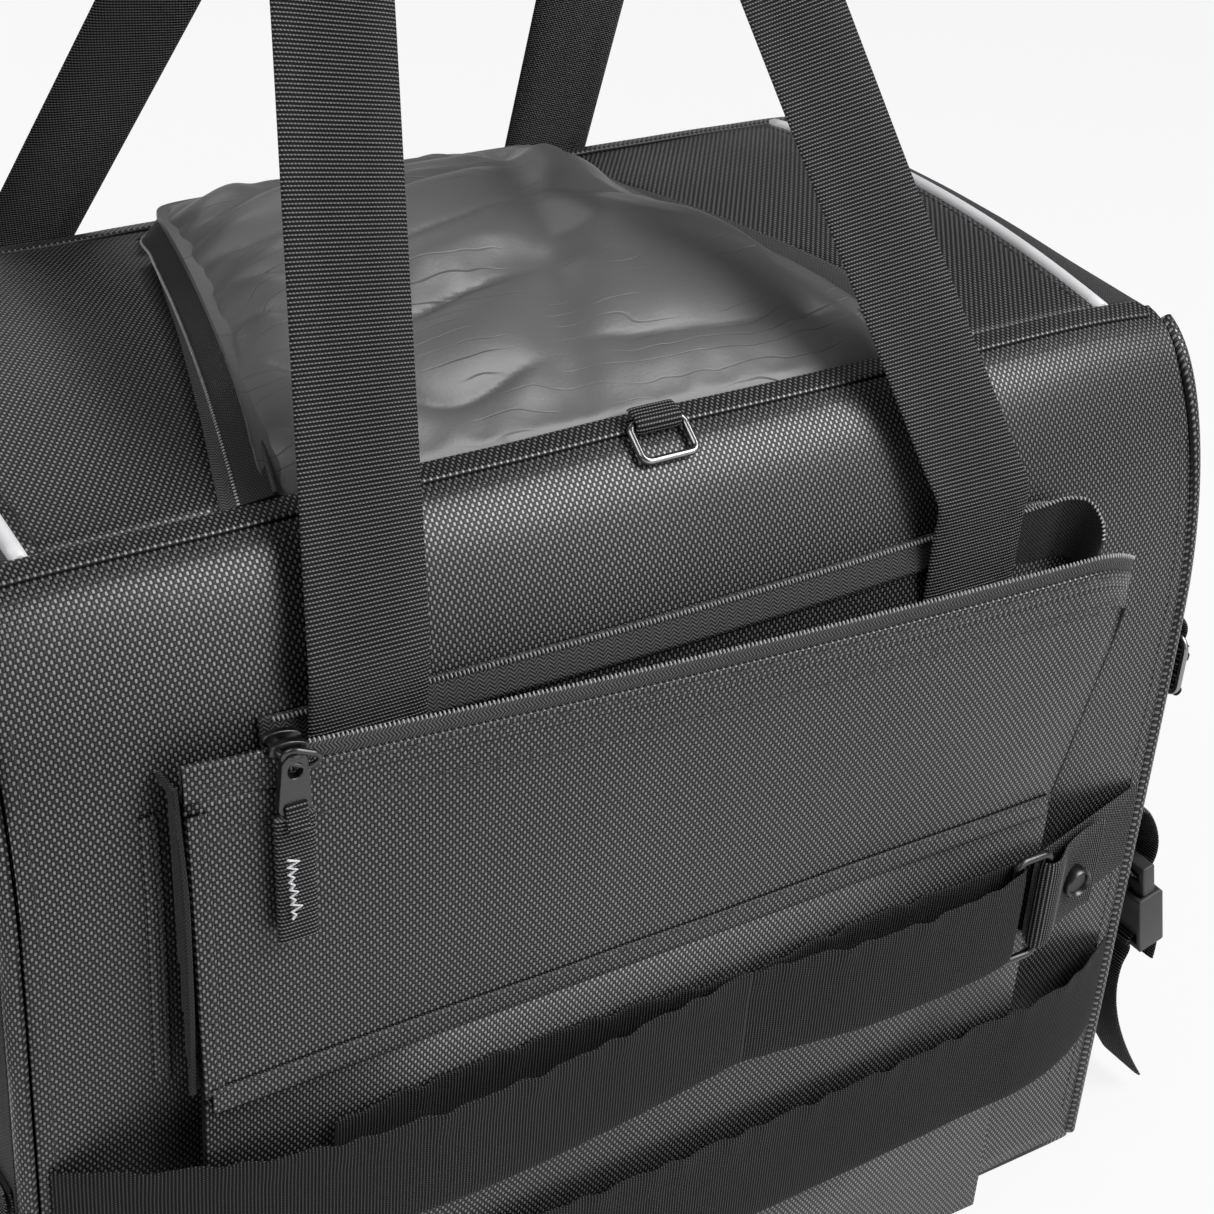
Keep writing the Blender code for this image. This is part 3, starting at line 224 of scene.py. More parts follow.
# Working tolerances of the mesh code, and the usual steps along a line
WELD = 1e-5
SHARP = math.radians(48)
JOIN_FACES = math.radians(60)
JOIN_SHAPES = math.radians(100)
FLAT = math.radians(1)
ALL_SMOOTH = 200
SHORT_STEP = 0.004
LONG_STEP = 0.006

# Dents and folds are noise: where each seed starts, then share and pace of the finer waves
NOISE_START = (1.7, -2.3, 3.1)
FINE_SHARE = 0.4
FINE_PACE = 2.3

TURN = 2 * math.pi
SIZE_FILE = "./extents.json"

# Which slot of the record each finish belongs to
SLOT_OF = {
    "nylon": "nylon",
    "side_cloth": "side_cloth",
    "pocket_cloth": "side_cloth",
    "vinyl": "vinyl",
    "webbing": "webbing",
    "loop_tape": "loop_tape",
    "zip_tape": "zip_tape",
    "reflective": "reflective",
    "gunmetal": "dark_metal",
    "nickel": "bright_metal",
    "plastic": "buckle_plastic",
    "lining": "board",
    "thread": "webbing",
    "tack_thread": "reflective",
    "zip_teeth": "bright_metal",
}


# Settings that a user would change

def grey(value):
    """A neutral colour, a trace cool."""
    return (value, value, value * 1.02, 1.0)


def length_setting(name, description, default):
    """A size in metres."""
    return bpy.props.FloatProperty(name=name, description=description, default=default, unit="LENGTH")


def power_setting(name, description, default):
    """The power of a light in watts."""
    return bpy.props.FloatProperty(name=name, description=description, default=default, unit="POWER")


def colour_setting(name, description, default):
    """The colour of a finish."""
    return bpy.props.FloatVectorProperty(
        name=name, description=description, default=default, subtype="COLOR", size=4, min=0, max=1)


class TailBagCloth(bpy.types.PropertyGroup):
    """Sizes of weaves, ribs, stitches and teeth."""

    weave_pitch: length_setting("Weave pitch", "Two warp yarns of the ballistic nylon", 0.00214)
    weave_rise: length_setting("Weave rise", "Two weft yarns of the ballistic nylon", 0.0028)
    end_pitch: length_setting("End cloth pitch", "Two yarns of the finer end cloth", 0.0013)
    rib_pitch: length_setting("Webbing rib", "Distance between two ribs of the carrying webbing", 0.00121)
    strap_rib_pitch: length_setting("Strap rib", "Distance between two ribs of the mounting straps", 0.0011)
    stitch_pitch: length_setting("Stitch", "Length of one stitch with its gap", 0.0034)
    tooth_pitch: length_setting("Zip tooth", "Distance between two teeth of the pocket zip", 0.0014)
    ripple: length_setting("Panel ripple", "How far the panels wander from their plain form", 0.0009)
    flap_sag: length_setting("Pocket sag", "How far the open mouth hangs down in the middle", 0.0035)


class TailBagColours(bpy.types.PropertyGroup):
    """Colours of the finishes."""

    # Nylon's two colours: painted shade between the yarn crowns, and painted highlight on the crowns
    nylon_dark: colour_setting("Nylon, deep", "Between the yarn crowns", grey(0.003))
    nylon_pale: colour_setting("Nylon, crowns", "On the yarn crowns", grey(0.18))
    end_cloth: colour_setting("End cloth", "The finer cloth of the ends", grey(0.035))
    vinyl: colour_setting("Vinyl", "The lid", grey(0.115))
    webbing: colour_setting("Webbing", "Handles and loops", grey(0.06))
    strap: colour_setting("Strap", "Mounting straps", grey(0.024))
    zip_tape: colour_setting("Zip tape", "Woven tape of the zips", grey(0.055))
    reflective: colour_setting("Reflective", "Silver-white piping", grey(0.78))
    plastic: colour_setting("Plastic", "Buckles", grey(0.04))
    gunmetal: colour_setting("Gunmetal", "Sliders, pulls and snap", grey(0.09))
    nickel: colour_setting("Nickel", "Wire rings", grey(0.3))


class TailBagStudio(bpy.types.PropertyGroup):
    """Camera and light."""

    lens: bpy.props.FloatProperty(
        name="Lens", description="Focal length in millimetres on a 36 mm sensor", default=74.43)
    key_power: power_setting("Key light", "Softbox in front", 9.0)
    sheen_power: power_setting("Sheen light", "High softbox on the right, mirrored in the shoulder", 36.0)
    back_power: power_setting("Back light", "Softbox behind the bag, mirrored in the lid", 3.5)
    rear_power: power_setting("Rear light", "Low softbox on the back wall", 7.0)
    fill_power: power_setting("Fill light", "Softbox to the left", 15.0)
    sky: bpy.props.FloatProperty(
        name="Sky", description="Strength of the even light round the bag", default=0.15)


def cloth_sizes():
    """The cloth settings of the scene."""
    return bpy.context.scene.tail_bag_cloth


def colours():
    """The colour settings of the scene."""
    return bpy.context.scene.tail_bag_colours


# Finishes

class Value:
    """A number on a material's socket; arithmetic on it adds Math nodes."""

    def __init__(self, finish, socket):
        self.finish = finish
        self.socket = socket

    def math(self, operation, *others):
        """A Math node with this value first."""
        inputs = {index: item for index, item in enumerate((self, *others))}
        return self.finish.node("ShaderNodeMath", {"operation": operation}, inputs)

    def __add__(self, other):
        return self.math("ADD", other)

    __radd__ = __add__

    def __mul__(self, other):
        return self.math("MULTIPLY", other)

    __rmul__ = __mul__

    def __sub__(self, other):
        return self.math("SUBTRACT", other)

    def __rsub__(self, other):
        return (self * -1) + other

    def __truediv__(self, other):
        return self.math("DIVIDE", other)

    def __neg__(self):
        return self * -1

    def sine(self):
        """The sine of the value."""
        return self.math("SINE")

    def fraction(self):
        """What is left after whole numbers."""
        return self.math("FRACT")

    def size(self):
        """The value without its sign."""
        return self.math("ABSOLUTE")

    def above(self, low, high):
        """A soft step from 0 at low to 1 at high."""
        return self.finish.node(
            "ShaderNodeMapRange", {"interpolation_type": "SMOOTHSTEP"}, {0: self, 1: low, 2: high})


class Finish:
    """One material while its nodes are laid out."""

    def __init__(self, name):
        self.material = bpy.data.materials.new(name)
        self.material.use_nodes = True
        self.tree = self.material.node_tree
        self.tree.nodes.clear()

    def node(self, kind, settings=None, inputs=None, output=0):
        """Add a node, set its settings, then its sockets; gives one output as a Value."""
        made = self.tree.nodes.new(kind)
        for key, value in (settings or {}).items():
            setattr(made, key, value)
        for key, value in (inputs or {}).items():
            if isinstance(value, Value):
                self.tree.links.new(value.socket, made.inputs[key])
            else:
                made.inputs[key].default_value = value
        return Value(self, made.outputs[output])

    def cloth_place(self):
        """Metres across and along the cloth, from the piece's own map."""
        place = self.node("ShaderNodeUVMap", {"uv_map": "cloth"})
        across = self.node("ShaderNodeSeparateXYZ", inputs={0: place}, output=0)
        along = self.node("ShaderNodeSeparateXYZ", inputs={0: place}, output=1)
        return across, along

    def space(self, stretch=(1, 1, 1)):
        """Object coordinates, stretched."""
        place = self.node("ShaderNodeTexCoord", output=3)
        return self.node("ShaderNodeMapping", inputs={0: place, 3: stretch})

    def cloud(self, scale, detail=3.0, place=None, rough=0.5):
        """Soft noise from 0 to 1."""
        inputs = {"Vector": place or self.space(), "Scale": scale, "Detail": detail, "Roughness": rough}
        return self.node("ShaderNodeTexNoise", inputs=inputs)

    def blend(self, share, first, second):
        """Mix two colours."""
        return self.node(
            "ShaderNodeMix", {"data_type": "RGBA"}, {0: share, 6: first, 7: second}, output=2)

    def bump(self, height, depth, strength=1.0, under=None):
        """A normal from a height field whose full range is depth metres."""
        inputs = {"Strength": strength, "Distance": depth, "Height": height}
        if under:
            inputs["Normal"] = under
        return self.node("ShaderNodeBump", inputs=inputs)

    def close(self, **sockets):
        """Principled shader and output."""
        shader = self.node("ShaderNodeBsdfPrincipled", inputs=sockets)
        self.node_out(shader)
        return self.material

    def node_out(self, shader):
        """Join a shader to the material's output."""
        end = self.tree.nodes.new("ShaderNodeOutputMaterial")
        self.tree.links.new(shader.socket, end.inputs[0])


def shade(colour, factor):
    """A colour made darker or paler."""
    return tuple(part * factor for part in colour[:3]) + (1.0,)


def nylon():
    """Ballistic nylon: tall, glossy yarn crowns in a checker; their pale grey is painted highlight and the nearly
    black ground between them is painted shade.
    """
    finish = Finish("nylon")
    across, along = finish.cloth_place()
    side = (across * (TURN / cloth_sizes().weave_pitch)).sine()
    rise = ((along * (TURN / cloth_sizes().weave_rise)).sine() * 1.6).math("TANH")
    weave = side * rise
    warp = weave.above(0.16, 0.74)
    weft = (-weave).above(0.35, 0.95)
    wear = finish.cloud(9.0, 4.0)
    yarn = finish.cloud(700.0, 1.0)
    crown = warp * (0.6 + 0.5 * yarn) + weft * 0.1
    share = crown * (0.75 + 0.5 * wear)
    # The crowns' pale colour is painted highlight and the near black between them painted shade; the coat's gloss on
    # the crowns is real
    base = finish.blend(share, tuple(colours().nylon_dark), tuple(colours().nylon_pale))
    height = warp + weft * 0.55
    return finish.close(**{
        "Base Color": base,
        "Roughness": 0.36 - 0.04 * warp + 0.08 * wear,
        "Specular IOR Level": 0.3,
        "Coat Weight": share,
        "Coat Roughness": 0.32,
        "Coat IOR": 1.75,
        "Normal": finish.bump(height, 0.0005, 0.35),
    })


def fine_weave(name, colour):
    """A fine plain weave."""
    finish = Finish(name)
    across, along = finish.cloth_place()
    turn = TURN / cloth_sizes().end_pitch
    weave = (across * turn).sine() * (along * turn).sine()
    warp = weave.above(0.0, 0.9)
    wear = finish.cloud(8.0, 4.0)
    tone = warp * (0.6 + 0.5 * wear)
    base = finish.blend(tone, shade(colour, 0.35), shade(colour, 1.5))
    return finish.close(**{
        "Base Color": base,
        "Roughness": 0.7 + 0.12 * wear,
        "Specular IOR Level": 0.35,
        "Sheen Weight": 0.1,
        "Normal": finish.bump(weave, 0.00025, 0.7),
    })


def side_cloth():
    """A finer, darker weave on the ends."""
    return fine_weave("side_cloth", tuple(colours().end_cloth))


def pocket_cloth():
    """Side cloth darkened to near black: painted shade where the pocket's cloth lies in hollows and creases."""
    return fine_weave("pocket_cloth", shade(tuple(colours().end_cloth), 0.3))


def vinyl():
    """Satin vinyl with a fine grain and thin cracks where it has been folded."""
    finish = Finish("vinyl")
    place = finish.space()
    grain = finish.node(
        "ShaderNodeTexVoronoi", {"feature": "SMOOTH_F1"}, {"Vector": place, "Scale": 900.0})
    along = finish.node("ShaderNodeSeparateXYZ", inputs={0: place}, output=1)
    drift = finish.cloud(13.0, 4.0, finish.space((0.5, 1, 1)))
    lines = ((along / 0.006 + drift * 9) * math.pi).sine().size()
    folded = finish.cloud(24.0, 2.0, finish.space((0.7, 1.2, 1))).above(0.47, 0.62)
    crack = (1 - lines.above(0.0, 0.16)) * folded
    tone = finish.cloud(11.0, 5.0)
    colour = tuple(colours().vinyl)
    base = finish.blend(tone, shade(colour, 0.75), shade(colour, 1.3))
    base = finish.blend(crack * 0.4, base, shade(colour, 0.3))
    skin = finish.bump(grain, 0.0001, 0.35)
    return finish.close(**{
        "Base Color": base,
        "Roughness": 0.37 + 0.1 * tone + 0.2 * crack,
        "Specular IOR Level": 0.55,
        "Normal": finish.bump(crack * -1, 0.0004, 0.6, skin),
    })


def ribbed(name, colour, pitch, depth, yarn_pitch):
    """Webbing: thick ribs across it, with yarns that pass over and under."""
    finish = Finish(name)
    across, along = finish.cloth_place()
    rib = (along * (TURN / pitch) + math.pi / 2).sine().above(-0.15, 0.85)
    yarn = (across * (TURN / yarn_pitch) + along * (math.pi / pitch)).sine().above(-0.7, 0.7)
    fuzz = finish.cloud(1400.0, 2.0)
    wear = finish.cloud(14.0, 3.0)
    share = rib * (0.25 + 0.75 * yarn) * (0.6 + 0.5 * fuzz) * (0.8 + 0.4 * wear)
    # Near black between the ribs is painted shade in their grooves; the pale rib and yarn tops are painted highlight
    base = finish.blend(share, shade(colour, 0.04), shade(colour, 4.4))
    return finish.close(**{
        "Base Color": base,
        "Roughness": 0.68 + 0.14 * fuzz,
        "Specular IOR Level": 0.22,
        "Normal": finish.bump(rib * (0.6 + 0.4 * yarn), depth, 0.8),
    })


def webbing():
    """Carrying webbing."""
    return ribbed("webbing", tuple(colours().webbing), cloth_sizes().rib_pitch, 0.0004, 0.00105)


def loop_tape():
    """Mounting straps, with a finer rib and a felt-like nap."""
    return ribbed("loop_tape", tuple(colours().strap), cloth_sizes().strap_rib_pitch, 0.0003, 0.0008)


def zip_tape():
    """Herringbone tape of the zips."""
    finish = Finish("zip_tape")
    across, along = finish.cloth_place()
    arrow = ((across / 0.0034).fraction() - 0.5).size()
    bone = ((along / 0.0012 + arrow * 2.4) * TURN).sine() * 0.5 + 0.5
    fuzz = finish.cloud(1200.0, 2.0)
    colour = tuple(colours().zip_tape)
    share = bone * (0.6 + 0.6 * fuzz)
    return finish.close(**{
        "Base Color": finish.blend(share, shade(colour, 0.15), shade(colour, 2.2)),
        "Roughness": 0.74 + 0.1 * fuzz,
        "Specular IOR Level": 0.3,
        "Normal": finish.bump(bone, 0.00025, 0.7),
    })


def reflective():
    """Silver-white piping whose skin is a bed of fine beads."""
    finish = Finish("reflective")
    beads = finish.node(
        "ShaderNodeTexVoronoi", {"feature": "F1"}, {"Vector": finish.space(), "Scale": 1500.0})
    dirt = finish.cloud(40.0, 4.0).above(0.35, 0.75)
    colour = tuple(colours().reflective)
    return finish.close(**{
        "Base Color": finish.blend(dirt, colour, shade(colour, 0.86)),
        "Roughness": 0.34 + 0.2 * dirt,
        "Normal": finish.bump(beads, 0.0001, 0.3),
    })


def metal(name, colour, rough):
    """Plated or painted metal with faint handling marks."""
    finish = Finish(name)
    scuff = finish.cloud(160.0, 6.0, finish.space((1, 1, 4)), 0.65)
    spots = finish.cloud(1500.0, 2.0)
    return finish.close(**{
        "Base Color": finish.blend(scuff, shade(colour, 0.82), shade(colour, 1.15)),
        "Metallic": 1.0,
        "Roughness": rough + 0.18 * scuff,
        "Normal": finish.bump(spots, 0.00005, 0.15),
    })


def gunmetal():
    """Sliders, pulls and snap."""
    return metal("gunmetal", tuple(colours().gunmetal), 0.26)


def nickel():
    """Wire rings."""
    return metal("nickel", tuple(colours().nickel), 0.16)


def zip_teeth():
    """Coil, glossy on top; its pale grey stands for the glints on dark teeth, a painted highlight."""
    finish = Finish("zip_teeth")
    scuff = finish.cloud(300.0, 3.0)
    # The pale grey is painted glint on the teeth
    return finish.close(**{
        "Base Color": finish.blend(scuff, grey(0.3), grey(0.62)),
        "Roughness": 0.25 + 0.2 * scuff,
    })


def plastic():
    """Moulded plastic with a fine spark-eroded grain."""
    finish = Finish("plastic")
    grain = finish.cloud(1800.0, 2.0)
    scuff = finish.cloud(60.0, 5.0)
    colour = tuple(colours().plastic)
    return finish.close(**{
        "Base Color": finish.blend(scuff, shade(colour, 0.8), shade(colour, 1.3)),
        "Roughness": 0.4 + 0.2 * scuff,
        "Normal": finish.bump(grain, 0.00008, 0.3),
    })


def lining():
    """Coated lining on the boards inside."""
    finish = Finish("lining")
    place = finish.space()
    weave = finish.node(
        "ShaderNodeTexVoronoi", {"feature": "F1", "distance": "CHEBYCHEV"},
        {"Vector": place, "Scale": 620.0, "Randomness": 0.1})
    wear = finish.cloud(12.0, 4.0)
    return finish.close(**{
        "Base Color": finish.blend(wear, grey(0.022), grey(0.05)),
        "Roughness": 0.55 + 0.2 * wear,
        "Normal": finish.bump(weave, 0.0002, 0.5),
    })


def spun(name, colour):
    """Sewing thread."""
    finish = Finish(name)
    strand = finish.cloud(2200.0, 1.0)
    return finish.close(**{
        "Base Color": finish.blend(strand, shade(colour, 0.6), shade(colour, 1.3)),
        "Roughness": 0.5 + 0.2 * strand,
        "Sheen Weight": 0.1,
    })


def thread():
    """Black sewing thread."""
    return spun("thread", grey(0.03))


def tack_thread():
    """White thread of the pull's bar tack."""
    return spun("tack_thread", grey(0.75))


FINISH_MAKERS = {
    maker.__name__: maker for maker in (
        nylon, side_cloth, pocket_cloth, vinyl, webbing, loop_tape, zip_tape, reflective, gunmetal, nickel,
        zip_teeth, plastic, lining, thread, tack_thread)
}
FINISHES = {}


def finish_of(name):
    """The material of a finish, made once."""
    if name not in FINISHES:
        FINISHES[name] = FINISH_MAKERS[name]()
    return FINISHES[name]


# Meshes taken from the frame

def link(name, mesh):
    """Put a mesh into the scene as an object at the origin."""
    made = bpy.data.objects.new(name, mesh)
    bpy.context.scene.collection.objects.link(made)
    return made


def plain_mesh(made):
    """The evaluated mesh of an object, which is removed."""
    depsgraph = bpy.context.evaluated_depsgraph_get()
    mesh = bpy.data.meshes.new_from_object(made.evaluated_get(depsgraph))
    bpy.data.objects.remove(made)
    return mesh


def body_of(node):
    """The body that a node of the frame belongs to."""
    return NODES[node]["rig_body"]


def add_piece(name, mesh, finish, body, *stands_for, bends=None):
    """Link a finished mesh with its material and let it ride on a body of the frame.

    Cloth that crosses a joint gives in bends the other body and where the turn starts and ends."""
    mesh.materials.clear()
    mesh.materials.append(finish_of(finish))
    mesh.shade_smooth()
    mesh.set_sharp_from_angle(angle=SHARP)
    piece = link(name, mesh)
    if bends:
        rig.blend(piece, body, *bends)
    else:
        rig.ride(piece, body)
    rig.slot(piece, SLOT_OF[finish])
    if stands_for:
        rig.replaces(piece, *stands_for)
    return piece


def welded(node):
    """A merged copy of a node's mesh, its triangles joined to quads."""
    build = bmesh.new()
    build.from_mesh(NODES[node].data)
    bmesh.ops.remove_doubles(build, verts=build.verts, dist=WELD)
    bmesh.ops.join_triangles(
        build, faces=build.faces,
        angle_face_threshold=JOIN_FACES, angle_shape_threshold=JOIN_SHAPES)
    return build


def mesh_from(build, name):
    """Turn a bmesh into a mesh without any map."""
    mesh = bpy.data.meshes.new(name)
    build.to_mesh(mesh)
    build.free()
    while mesh.uv_layers:
        mesh.uv_layers.remove(mesh.uv_layers[0])
    return mesh


def finer(mesh, levels=1):
    """A plain mesh, subdivided."""
    rough = link("rough", mesh)
    soft = rough.modifiers.new("Soft", "SUBSURF")
    soft.levels = levels
    soft.render_levels = levels
    return plain_mesh(rough)


def softened(node, levels, crease=50):
    """A smooth copy of a node whose edges sharper than the crease, in degrees, stay sharp."""
    build = welded(node)
    layer = build.edges.layers.float.new("crease_edge")
    for edge in build.edges:
        if edge.calc_face_angle(0) > math.radians(crease):
            edge[layer] = 1.0
    return finer(mesh_from(build, node), levels)


def bevelled(mesh, width, sharp):
    """A plain mesh with its edges rounded where they are sharper than an angle in degrees."""
    rough = link("rough", mesh)
    edge = rough.modifiers.new("Edge", "BEVEL")
    edge.width = width
    edge.segments = 3
    edge.limit_method = "ANGLE"
    edge.angle_limit = math.radians(sharp)
    return plain_mesh(rough)


def rounded(node, radius, sharp=28):
    """A copy of a rigid node with its edges rounded where they are sharper than an angle in degrees."""
    build = welded(node)
    bmesh.ops.dissolve_limit(build, angle_limit=FLAT, verts=build.verts, edges=build.edges)
    return bevelled(mesh_from(build, node), radius, sharp)


def move_points(mesh, rule):
    """Move every point of a mesh by a rule of its place and normal."""
    normals = [Vector(item.vector) for item in mesh.vertex_normals]
    places = [vertex.co.copy() for vertex in mesh.vertices]
    moved = [place + rule(place, normal) for place, normal in zip(places, normals)]
    mesh.vertices.foreach_set("co", np.ravel(moved))
    mesh.update()


def ease(share):
    """A soft step from 0 to 1."""
    share = min(1.0, max(0.0, share))
    return share * share * (3 - 2 * share)


def wander(size, seed):
    """Smooth noise of a place, from -1 to 1, over waves of a size."""
    start = Vector([seed * part for part in NOISE_START])

    def at(place):
        fine = noise.noise(place * FINE_PACE / size + start)
        return noise.noise(place / size + start) + FINE_SHARE * fine

    return at


def ripple(mesh, height, size, seed):
    """Give a panel the gentle dents of cloth over board."""
    field = wander(size, seed)
    move_points(mesh, lambda place, normal: normal * (height * field(place)))


def map_cloth(mesh, rule):
    """Store metres across and along the cloth in the mesh's map."""
    layer = mesh.uv_layers.new(name="cloth")
    places = [rule(vertex.co) for vertex in mesh.vertices]
    for loop in mesh.loops:
        layer.data[loop.index].uv = places[loop.vertex_index]


def shoulder_arc(count=65):
    """Angles on the shoulder and the length of cloth up to each."""
    angles = np.linspace(0, math.pi / 2, count)
    outs = SHOULDER_DEPTH * np.cos(angles)
    ups = SHOULDER_HEIGHT * np.sin(angles)
    runs = np.hypot(np.diff(outs), np.diff(ups))
    return angles, np.concatenate(([0], np.cumsum(runs)))


ARC_ANGLES, ARC_RUNS = shoulder_arc()


def wall_out(z):
    """How far the front wall stands from the middle at a height."""
    rise = min(1.0, max(0.0, (z - SPRING_Z) / SHOULDER_HEIGHT))
    return SEAM_Y + SHOULDER_DEPTH * math.sqrt(1 - rise * rise)


def along_shoulder(place):
    """Cloth map of the front and rear panels: width, and length up the profile."""
    if place.z <= SPRING_Z:
        return place.x, place.z
    angle = math.atan2((place.z - SPRING_Z) / SHOULDER_HEIGHT, (abs(place.y) - SEAM_Y) / SHOULDER_DEPTH)
    return place.x, SPRING_Z + float(np.interp(angle, ARC_ANGLES, ARC_RUNS))


def over_end(place):
    """Cloth map of the ends: depth, and length up the wall and over the top."""
    return place.y, place.z + HALF_W - abs(place.x)


def round_edge(place):
    """Cloth map of the edge pipings: round the cord, and length up the profile."""
    rise = max(0.0, (place.z - SPRING_Z) / SHOULDER_HEIGHT)
    out = SHOULDER_DEPTH * math.hypot(rise, (abs(place.y) - SEAM_Y) / SHOULDER_DEPTH)
    return abs(place.x) - out, along_shoulder(place)[1]


def from_above(place):
    """Cloth map of level pieces."""
    return place.x, place.y


def from_front(place):
    """Cloth map of upright pieces."""
    return place.x, place.z


def from_end(place):
    """Cloth map of gussets that stand away from the front."""
    return place.y + place.x, place.z


# Strips, tubes and rows

def strip_sections(node):
    """Rows of centre, half side and half thickness along a flat strip of the frame."""
    build = welded(node)
    ends = {vertex for vertex in build.verts if len(vertex.link_edges) == 3}
    caps = [face for face in build.faces if all(vertex in ends for vertex in face.verts)]
    row = list(min(caps, key=lambda face: face.calc_area()).verts)
    seen = set(row)
    sections = []
    side_before = None
    while row:
        if len(row) != 4:
            raise RuntimeError(f"{node} isn't a plain strip")
        first = row[0].co
        others = sorted((vertex.co for vertex in row[1:]), key=lambda co: (co - first).length)
        near = (first + others[0]) / 2
        far = (others[1] + others[2]) / 2
        side = (far - near) / 2
        depth = (others[0] - first).length / 2
        if side_before is not None and side.dot(side_before) < 0:
            side = -side
        side_before = side
        sections.append([*((near + far) / 2), *side, depth])
        following = {edge.other_vert(vertex) for vertex in row for edge in vertex.link_edges} - seen
        seen |= following
        row = list(following)
    build.free()
    return np.array(sections)


def from_pivot(rows, pivot):
    """Rows of a strip, the end nearer to a pivot first."""
    gaps = np.abs(rows[[0, -1], 1:3] - pivot[1:3]).sum(axis=1)
    return rows if gaps[0] < gaps[1] else rows[::-1]


def spaced(rows, least):
    """Rows without those that lie closer than the least distance to the one before."""
    kept = [rows[0]]
    for row in rows[1:]:
        if np.linalg.norm(row[:3] - kept[-1][:3]) > least:
            kept.append(row)
    return np.array(kept)


def stepped(rows, step):
    """Rows with more of them on the straight lines between, so that only corners round off."""
    out = [rows[0]]
    for first, second in zip(rows, rows[1:]):
        count = max(1, int(np.linalg.norm(second[:3] - first[:3]) / step))
        out += [first + (second - first) * index / count for index in range(1, count + 1)]
    return np.array(out)


def smooth_rows(rows, step):
    """Rows read again at even steps from a smooth curve through them, with the length up to each."""
    runs = np.linalg.norm(np.diff(rows[:, :3], axis=0), axis=1)
    chord = np.concatenate(([0], np.cumsum(runs)))
    order = 2 if len(rows) > 2 else 1
    slopes = np.gradient(rows, chord, axis=0, edge_order=order)
    count = max(3, int(round(chord[-1] / step)) + 1)
    places = np.linspace(0, chord[-1], count)
    index = np.clip(np.searchsorted(chord, places, side="right") - 1, 0, len(chord) - 2)
    span = (chord[index + 1] - chord[index])[:, None]
    part = ((places - chord[index])[:, None]) / span
    first = rows[index]
    second = rows[index + 1]
    out = (
        (2 * part**3 - 3 * part**2 + 1) * first
        + (part**3 - 2 * part**2 + part) * span * slopes[index]
        + (3 * part**2 - 2 * part**3) * second
        + (part**3 - part**2) * span * slopes[index + 1]
    )
    return out, places


# A strip's section: shares of its half width, closer at the edges, and how square the edges are
ACROSS = (-1, -0.985, -0.93, -0.75, -0.4, 0, 0.4, 0.75, 0.93, 0.985, 1)
SQUARE = 9

# Ribs of webbing: height in shares of the half thickness, and rows to a rib; steps round a wire's corner
WEBBING_RIB = 0.14
RIB_ROWS = 4
CORNER_STEPS = 8


def strip_profile():
    """Points round a strip's section: share of the half width and of the half thickness."""
    top = [(a, math.sqrt(max(0.0, 1 - abs(a) ** SQUARE))) for a in ACROSS]
    return top + [(a, -b) for a, b in reversed(top[1:-1])]


def strip_mesh(name, rows, pitch=None, rib=0.0, step=0.0012, bend=None, level=False):
    """A woven strip along rows of centre, half side and half thickness, with ribs if it has a pitch.

    The cloth of a level strip is cut along its weft."""
    fine, places = smooth_rows(rows, pitch / RIB_ROWS if pitch else step)
    centres = fine[:, :3]
    sides = fine[:, 3:6]
    depths = fine[:, 6]
    widths = np.linalg.norm(sides, axis=1)
    tangents = np.gradient(centres, places, axis=0)
    normals = np.cross(tangents, sides)
    normals /= np.linalg.norm(normals, axis=1)[:, None]
    if pitch:
        depths = depths * (1 + rib * np.cos(TURN * places / pitch))
    profile = strip_profile()
    build = bmesh.new()
    layer = build.loops.layers.uv.new("cloth")
    rings = []
    for centre, side, normal, depth, width, place in zip(centres, sides, normals, depths, widths, places):
        ring = []
        for a, b in profile:
            spot = Vector(centre + side * a + normal * (depth * b))
            spread = (place, a * width) if level else (a * width, place)
            ring.append((build.verts.new(bend(spot) if bend else spot), *spread))
        rings.append(ring)
    count = len(profile)
    for low, high in zip(rings, rings[1:]):
        for index in range(count):
            after = (index + 1) % count
            corners = (low[index], low[after], high[after], high[index])
            face = build.faces.new([corner[0] for corner in corners])
            for loop, corner in zip(face.loops, corners):
                loop[layer].uv = corner[1:]
    for ring in (rings[0], rings[-1]):
        face = build.faces.new([corner[0] for corner in ring])
        for loop, corner in zip(face.loops, ring):
            loop[layer].uv = corner[1:]
    bmesh.ops.recalc_face_normals(build, faces=build.faces)
    mesh = bpy.data.meshes.new(name)
    build.to_mesh(mesh)
    build.free()
    return mesh


def webbing_piece(node, finish="webbing", rib=WEBBING_RIB, bends=None, bend=None):
    """Rebuild a webbing node as a ribbed strip on its own path."""
    pitch = cloth_sizes().rib_pitch if finish == "webbing" else cloth_sizes().strap_rib_pitch
    mesh = strip_mesh(node, strip_sections(node), pitch, rib, bend=bend)
    return add_piece(node + "_weave", mesh, finish, body_of(node), node, bends=bends)


def tape_piece(node, finish="zip_tape", bend=None):
    """Rebuild a thin tape node as a smooth strip on its own path."""
    mesh = strip_mesh(node, strip_sections(node), bend=bend)
    return add_piece(node + "_tape", mesh, finish, body_of(node), node)


def add_line(curve, points, closed):
    """Add a line through points to a curve."""
    spline = curve.splines.new("POLY")
    spline.points.add(len(points) - 1)
    for slot, point in zip(spline.points, points):
        slot.co = (*point, 1)
    spline.use_cyclic_u = closed


def wire_mesh(points, radius, closed=False):
    """A round wire through points."""
    curve = bpy.data.curves.new("wire", "CURVE")
    curve.dimensions = "3D"
    curve.bevel_depth = radius
    curve.bevel_resolution = 4
    curve.use_fill_caps = not closed
    add_line(curve, points, closed)
    mesh = plain_mesh(link("wire", curve))
    build = bmesh.new()
    build.from_mesh(mesh)
    bmesh.ops.remove_doubles(build, verts=build.verts, dist=WELD)
    bmesh.ops.recalc_face_normals(build, faces=build.faces)
    return mesh_from(build, "wire")


